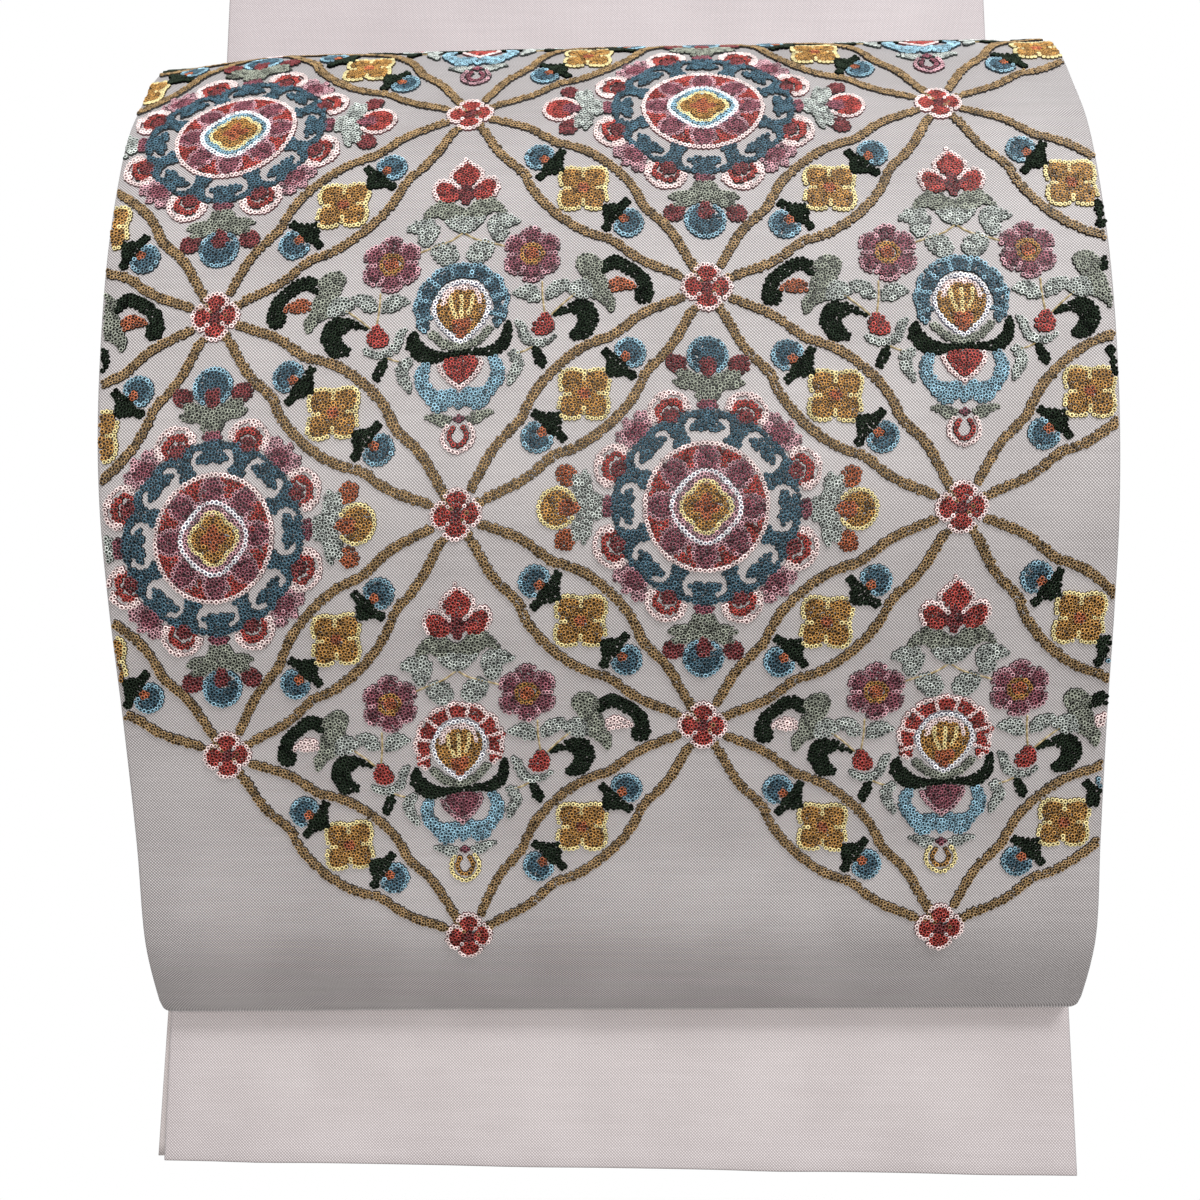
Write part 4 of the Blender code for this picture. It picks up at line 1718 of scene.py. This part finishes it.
@dataclass
class Embroidery:
    """Knots and couched stems carried onto the drum, one joined piece for each floss."""

    path: SashPath
    design: Design
    wall: float = 1.7
    sunk: float = 0.08
    stem_radius: float = 0.3
    spread: float = 0.06
    scatter: float = 0.05

    def _frames(self, flat: Array, lift: float) -> tuple[Array, Array, Array, Array]:
        """Places on the cloth with its directions across, along and out.

        Args:
            flat: Lattice places.
            lift: Height above the wall's middle.

        Returns:
            Points and their unit directions across, along and out.
        """
        u, v = self.design.to_cloth(flat[:, 0], flat[:, 1])
        across = u / (self.path.width / 2)
        distance = self.path.crown + v
        height = np.full(len(u), lift)
        place, out = self.path.surface(Stretch.DRUM, across, distance, height)
        beside, _out = self.path.surface(Stretch.DRUM, across + 0.004, distance, height)
        side = beside - place
        side -= (side * out).sum(axis=1, keepdims=True) * out
        side /= np.linalg.norm(side, axis=1, keepdims=True)
        return place, side, np.cross(out, side), out

    def _on_band(self, flat: Array) -> Array:
        """Which places lie between the selvedges."""
        u, _v = self.design.to_cloth(flat[:, 0], flat[:, 1])
        return np.abs(u) < self.design.edge

    def _knots(
        self, thread: Thread, places: Array, sizes: Array, dice: np.random.Generator
    ) -> bpy.types.Object:
        """Join copies of the knot for one floss.

        Args:
            thread: The floss.
            places: Lattice places of its knots.
            sizes: Their sizes against the usual one.
            dice: The source of small differences.

        Returns:
            The joined piece.
        """
        shape, faces, crest = KnotShape(skirt=thread.value.foot).model()
        places = places + dice.normal(0.0, self.scatter, places.shape)
        origin, side, along, out = self._frames(places, self.wall / 2 - self.sunk)
        turn = dice.uniform(0.0, 2.0 * math.pi, len(places))
        size = sizes * dice.normal(1.0, self.spread, len(places))
        stretch = dice.normal(1.0, 0.07, len(places))
        c, s = (np.cos(turn) * size)[:, None], (np.sin(turn) * size)[:, None]
        x = shape[None, :, 0] * stretch[:, None]
        y = shape[None, :, 1] / stretch[:, None]
        z = shape[None, :, 2] * size[:, None]
        points = origin[:, None, :] + (x * c - y * s)[..., None] * side[:, None, :]
        ahead = (x * s + y * c)[..., None] * along[:, None, :]
        points = points + ahead + z[..., None] * out[:, None, :]
        tone = np.clip(dice.normal(1.0, thread.value.uneven, len(places)), 0.4, 1.7)
        mesh = bpy.data.meshes.new(f"knots_{thread.name.lower()}")
        count = len(places)
        corners = np.concatenate([np.array(face) for face in faces])
        starts = np.concatenate([[0], np.cumsum([len(face) for face in faces])[:-1]])
        mesh.vertices.add(count * len(shape))
        mesh.vertices.foreach_set("co", (points.reshape(-1) * MM).astype(np.float32))
        mesh.loops.add(count * len(corners))
        shift = np.arange(count)[:, None]
        mesh.loops.foreach_set(
            "vertex_index", (corners[None] + shift * len(shape)).astype(np.int32).ravel()
        )
        mesh.polygons.add(count * len(faces))
        mesh.polygons.foreach_set(
            "loop_start", (starts[None] + shift * len(corners)).astype(np.int32).ravel()
        )
        mesh.update(calc_edges=True)
        return self._piece(mesh, thread.value, np.tile(crest, count), np.repeat(tone, len(shape)))

    def _piece(
        self, mesh: bpy.types.Mesh, finish: SilkThread, crest: Array, tone: Array
    ) -> bpy.types.Object:
        """Give a joined mesh its attributes, floss and place in the frame.

        Args:
            mesh: The joined mesh.
            finish: The floss's finish.
            crest: How near each point is to a crest.
            tone: How deep the floss is dyed at each point.

        Returns:
            The finished piece.
        """
        for name, values in (("crest", crest), ("tone", tone)):
            layer = mesh.attributes.new(name, "FLOAT", "POINT")
            layer.data.foreach_set("value", values.astype(np.float32))
        mesh.polygons.foreach_set("use_smooth", np.ones(len(mesh.polygons), dtype=bool))
        mesh.materials.append(dressed(finish))
        piece = bpy.data.objects.new(mesh.name, mesh)
        bpy.context.scene.collection.objects.link(piece)
        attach(piece, "root")
        return piece

    def _stems(self, stems: list[Array]) -> bpy.types.Object:
        """Join the couched gold threads as round cords laid on the cloth.

        Args:
            stems: Lines in lattice places.

        Returns:
            The joined piece.
        """
        points, faces, crest, tone = [], [], [], []
        sides = 5
        count = 0
        for stem in stems:
            flat = spaced(stem, 0.9, False)
            flat = flat[self._on_band(flat)]
            if len(flat) < 3:
                continue
            place, _side, _along, out = self._frames(flat, self.wall / 2 + self.stem_radius * 0.6)
            ahead = np.gradient(place, axis=0)
            ahead /= np.linalg.norm(ahead, axis=1, keepdims=True)
            beside = np.cross(ahead, out)
            for step in range(sides):
                angle = 2.0 * math.pi * step / sides
                points.append(
                    place + self.stem_radius * (math.cos(angle) * beside + math.sin(angle) * out)
                )
            rings = len(flat)
            for ring in range(rings - 1):
                for step in range(sides):
                    a = count + step * rings + ring
                    b = count + (step + 1) % sides * rings + ring
                    faces.append((a, a + 1, b + 1, b))
            faces.append(tuple(count + step * rings for step in range(sides)))
            faces.append(tuple(count + step * rings + rings - 1 for step in reversed(range(sides))))
            # Crest values that rise and fall along the cord paint bands of light and shade for its
            # twist: painted highlight and painted shade
            twist = 0.87 + 0.13 * np.cos(np.arange(rings) * 2.1)
            crest.append(np.tile(twist, sides))
            tone.append(np.ones(sides * rings))
            count += sides * rings
        mesh = bpy.data.meshes.new("couched_stems")
        mesh.from_pydata((np.vstack(points) * MM).tolist(), [], faces)
        mesh.update()
        return self._piece(mesh, COUCHED_GOLD, np.concatenate(crest), np.concatenate(tone))

    def build(self) -> list[bpy.types.Object]:
        """Draw the design and build its pieces.

        Returns:
            The pieces, one for each floss.
        """
        whole = self.design.draw()
        places = np.array([(x, y) for x, y, _size, _thread in whole.knots])
        sizes = np.array([size for _x, _y, size, _thread in whole.knots])
        shown = self._on_band(places)
        dice = np.random.default_rng(self.design.seed)
        pieces = []
        for thread in Thread:
            mine = np.array([knot[3] is thread for knot in whole.knots]) & shown
            if mine.any():
                pieces.append(self._knots(thread, places[mine], sizes[mine], dice))
                LOG.info("%s: %d knots", thread.value.name, int(mine.sum()))
        pieces.append(self._stems(whole.stems))
        return pieces


# ---------------------------------------------------------------- the sash


@dataclass
class Sash:
    """The whole band in its stretches, with the embroidery on its drum."""

    path: SashPath = field(default_factory=SashPath)
    past_turn: float = 10.0
    gap: float = 0.15

    def _shell(self, node: str, stretch: Stretch, start: float, end: float, **options) -> ClothShell:
        """A stretch between two cuts, with half a gap left at each.

        Args:
            node: The CAD node it stands for.
            stretch: Which stretch of the band.
            start: First cut, as a distance along the band.
            end: Last cut.
            options: Further sizes of the shell.

        Returns:
            The stretch, ready to build.
        """
        first = start if options.get("hemmed_start") else start + self.gap
        last = end if options.get("hemmed_end") else end - self.gap
        return ClothShell(self.path, node, stretch, first, last, **options)

    def build(self) -> None:
        legs = self.path.legs
        turn_up = legs["turn_up"] + self.past_turn
        drum = legs["drum_fold"] - self.past_turn
        back = legs["drum_back"] + self.past_turn
        rising = legs["rising"] + self.past_turn
        passes = [
            legs[f"pass_{number}"] + self.past_turn for number in range(1, self.path.pass_turns + 2)
        ]
        top, low = self.path.backing_top_z, self.path.backing_tip_z
        tip = self.path.tip_z
        shells = [
            self._shell("tail", Stretch.TAIL, 0.0, turn_up, finish=TAIL_GROUND, hemmed_start=True),
            self._shell("turn_up", Stretch.TURN_UP, turn_up, drum, finish=GROUND, row_mm=6.0),
            self._shell("drum_back", Stretch.DRUM_BACK, back, rising, finish=BAND_GROUND, row_mm=5.0),
            self._shell("rising_band", Stretch.STRAIGHT, rising, passes[0], finish=BAND_GROUND),
        ]
        ends = [*passes[1:], legs["end"]]
        for number, (start, end) in enumerate(zip(passes, ends), start=1):
            last = number == len(passes)
            shells.append(
                self._shell(
                    f"folded_pass_{number}", Stretch.STRAIGHT, start, end,
                    finish=BAND_GROUND, columns=18, row_mm=12.0, hemmed_end=last,
                )
            )
        for shell in shells:
            piece = shell.build()
            LOG.info("%s built", piece.name)
        backing = ClothShell(
            self.path, "tail_backing", Stretch.BACKING, low - tip, top - tip, BACKING,
            wall=0.9, columns=30,
        ).build()
        front = self._shell("drum", Stretch.DRUM, drum, back, finish=GROUND, row_mm=3.0, columns=60)
        cloth = front.build()
        stitching = Embroidery(self.path, Design()).build()
        LOG.info("drum built with %d pieces of stitching", len(stitching))


# ---------------------------------------------------------------- the studio


@dataclass
class Studio:
    """A pale floor that fades out, soft light and the camera."""

    floor_z: float = -0.60
    floor_radius: float = 1.05
    camera_place: tuple[float, float, float] = (-0.0027, -0.4387, -0.2044)
    camera_pitch: float = 98.7
    lens: float = 40.2

    def floor(self) -> None:
        """Lay the floor, plain and pale, thinning to nothing at its rim."""
        bpy.ops.mesh.primitive_circle_add(
            vertices=64, radius=self.floor_radius, fill_type="NGON", location=(0.0, 0.05, self.floor_z)
        )
        floor = bpy.context.object
        floor.name = "studio_floor"
        material, tree, output = new_material("matt_white_paint")
        place = add_node(tree, "ShaderNodeTexCoord", {}, {})
        reach = add_node(
            tree, "ShaderNodeVectorMath", {"operation": "LENGTH"}, {0: place.outputs["Object"]}
        )
        fade = add_node(
            tree,
            "ShaderNodeMapRange",
            {"interpolation_type": "SMOOTHSTEP", "From Min": 0.35, "From Max": 1.0},
            {0: reach.outputs["Value"]},
        )
        paint = add_node(tree, "ShaderNodeBsdfDiffuse", {"Color": linear("#F6F5F3")}, {})
        clear = add_node(tree, "ShaderNodeBsdfTransparent", {}, {})
        mix = add_node(
            tree, "ShaderNodeMixShader", {}, {
                0: fade.outputs[0], 1: paint.outputs[0], 2: clear.outputs[0]
            }
        )
        tree.links.new(mix.outputs[0], output.inputs[0])
        floor.data.materials.append(material)
        floor.visible_diffuse = False
        floor.visible_glossy = False

    def world(self) -> None:
        """Set a plain white surround, and a soft light that is stronger from above."""
        world = bpy.data.worlds.new("white_studio")
        bpy.context.scene.world = world
        world.use_nodes = True
        tree = world.node_tree
        tree.nodes.clear()
        output = tree.nodes.new("ShaderNodeOutputWorld")
        way = add_node(tree, "ShaderNodeTexCoord", {}, {})
        parts = add_node(tree, "ShaderNodeSeparateXYZ", {}, {0: way.outputs["Generated"]})
        height = add_node(
            tree, "ShaderNodeMapRange", {"From Min": -0.6, "From Max": 0.8}, {0: parts.outputs[2]}
        )
        tint = add_node(
            tree,
            "ShaderNodeMix",
            {"data_type": "RGBA", 6: (0.10, 0.10, 0.10, 1.0), 7: (0.52, 0.53, 0.555, 1.0)},
            {0: height.outputs[0]},
        )
        soft = add_node(tree, "ShaderNodeBackground", {"Strength": 1.0}, {"Color": tint.outputs[2]})
        white = add_node(tree, "ShaderNodeBackground", {"Color": (1.0, 1.0, 1.0, 1.0)}, {})
        ray = add_node(tree, "ShaderNodeLightPath", {}, {})
        mix = add_node(
            tree,
            "ShaderNodeMixShader",
            {},
            {0: ray.outputs["Is Camera Ray"], 1: soft.outputs[0], 2: white.outputs[0]},
        )
        tree.links.new(mix.outputs[0], output.inputs[0])

    @staticmethod
    def softbox(name: str, place: tuple, target: tuple, size: tuple, power: float, tint: tuple) -> None:
        """Hang one soft light.

        Args:
            name: Its name.
            place: Where it hangs, in metres.
            target: What it points at.
            size: Its width and height.
            power: Its power in watts.
            tint: Its colour.
        """
        turn = (Vector(target) - Vector(place)).to_track_quat("-Z", "Y").to_euler()
        bpy.ops.object.light_add(type="AREA", location=place, rotation=turn)
        lamp = bpy.context.object
        lamp.name = name
        lamp.data.shape = "RECTANGLE"
        lamp.data.size, lamp.data.size_y = size
        lamp.data.energy = power
        lamp.data.color = tint

    def camera(self) -> None:
        """Set the camera, a little below the middle and looking up."""
        turn = (math.radians(self.camera_pitch), 0.0, 0.0)
        bpy.ops.object.camera_add(location=self.camera_place, rotation=turn)
        camera = bpy.context.object
        camera.data.lens = self.lens
        camera.data.sensor_width = 36.0
        camera.data.clip_start = 0.01
        bpy.context.scene.camera = camera

    def build(self) -> None:
        """Set up the whole studio."""
        self.camera()
        self.floor()
        self.world()
        cool, warm = (0.98, 0.99, 1.0), (1.0, 0.975, 0.96)
        self.softbox("key_above", (0.7, -1.5, 1.15), (0.0, 0.0, -0.08), (0.8, 0.6), 22.0, cool)
        self.softbox("fill_front", (0.0, -1.7, -0.20), (0.0, 0.0, -0.15), (1.0, 0.7), 20.5, warm)
        self.softbox("rim_behind", (0.6, 1.6, 1.3), (0.0, 0.1, 0.0), (1.2, 1.0), 17.0, cool)
        scene = bpy.context.scene
        scene.view_settings.view_transform = "Standard"
        scene.view_settings.look = "None"


def main() -> None:
    """Build the studio and the sash."""
    logging.basicConfig(level=logging.INFO, format="%(message)s")
    bpy.ops.object.select_all(action="DESELECT")
    Studio().build()
    Sash().build()


if __name__ == "__main__":
    main()
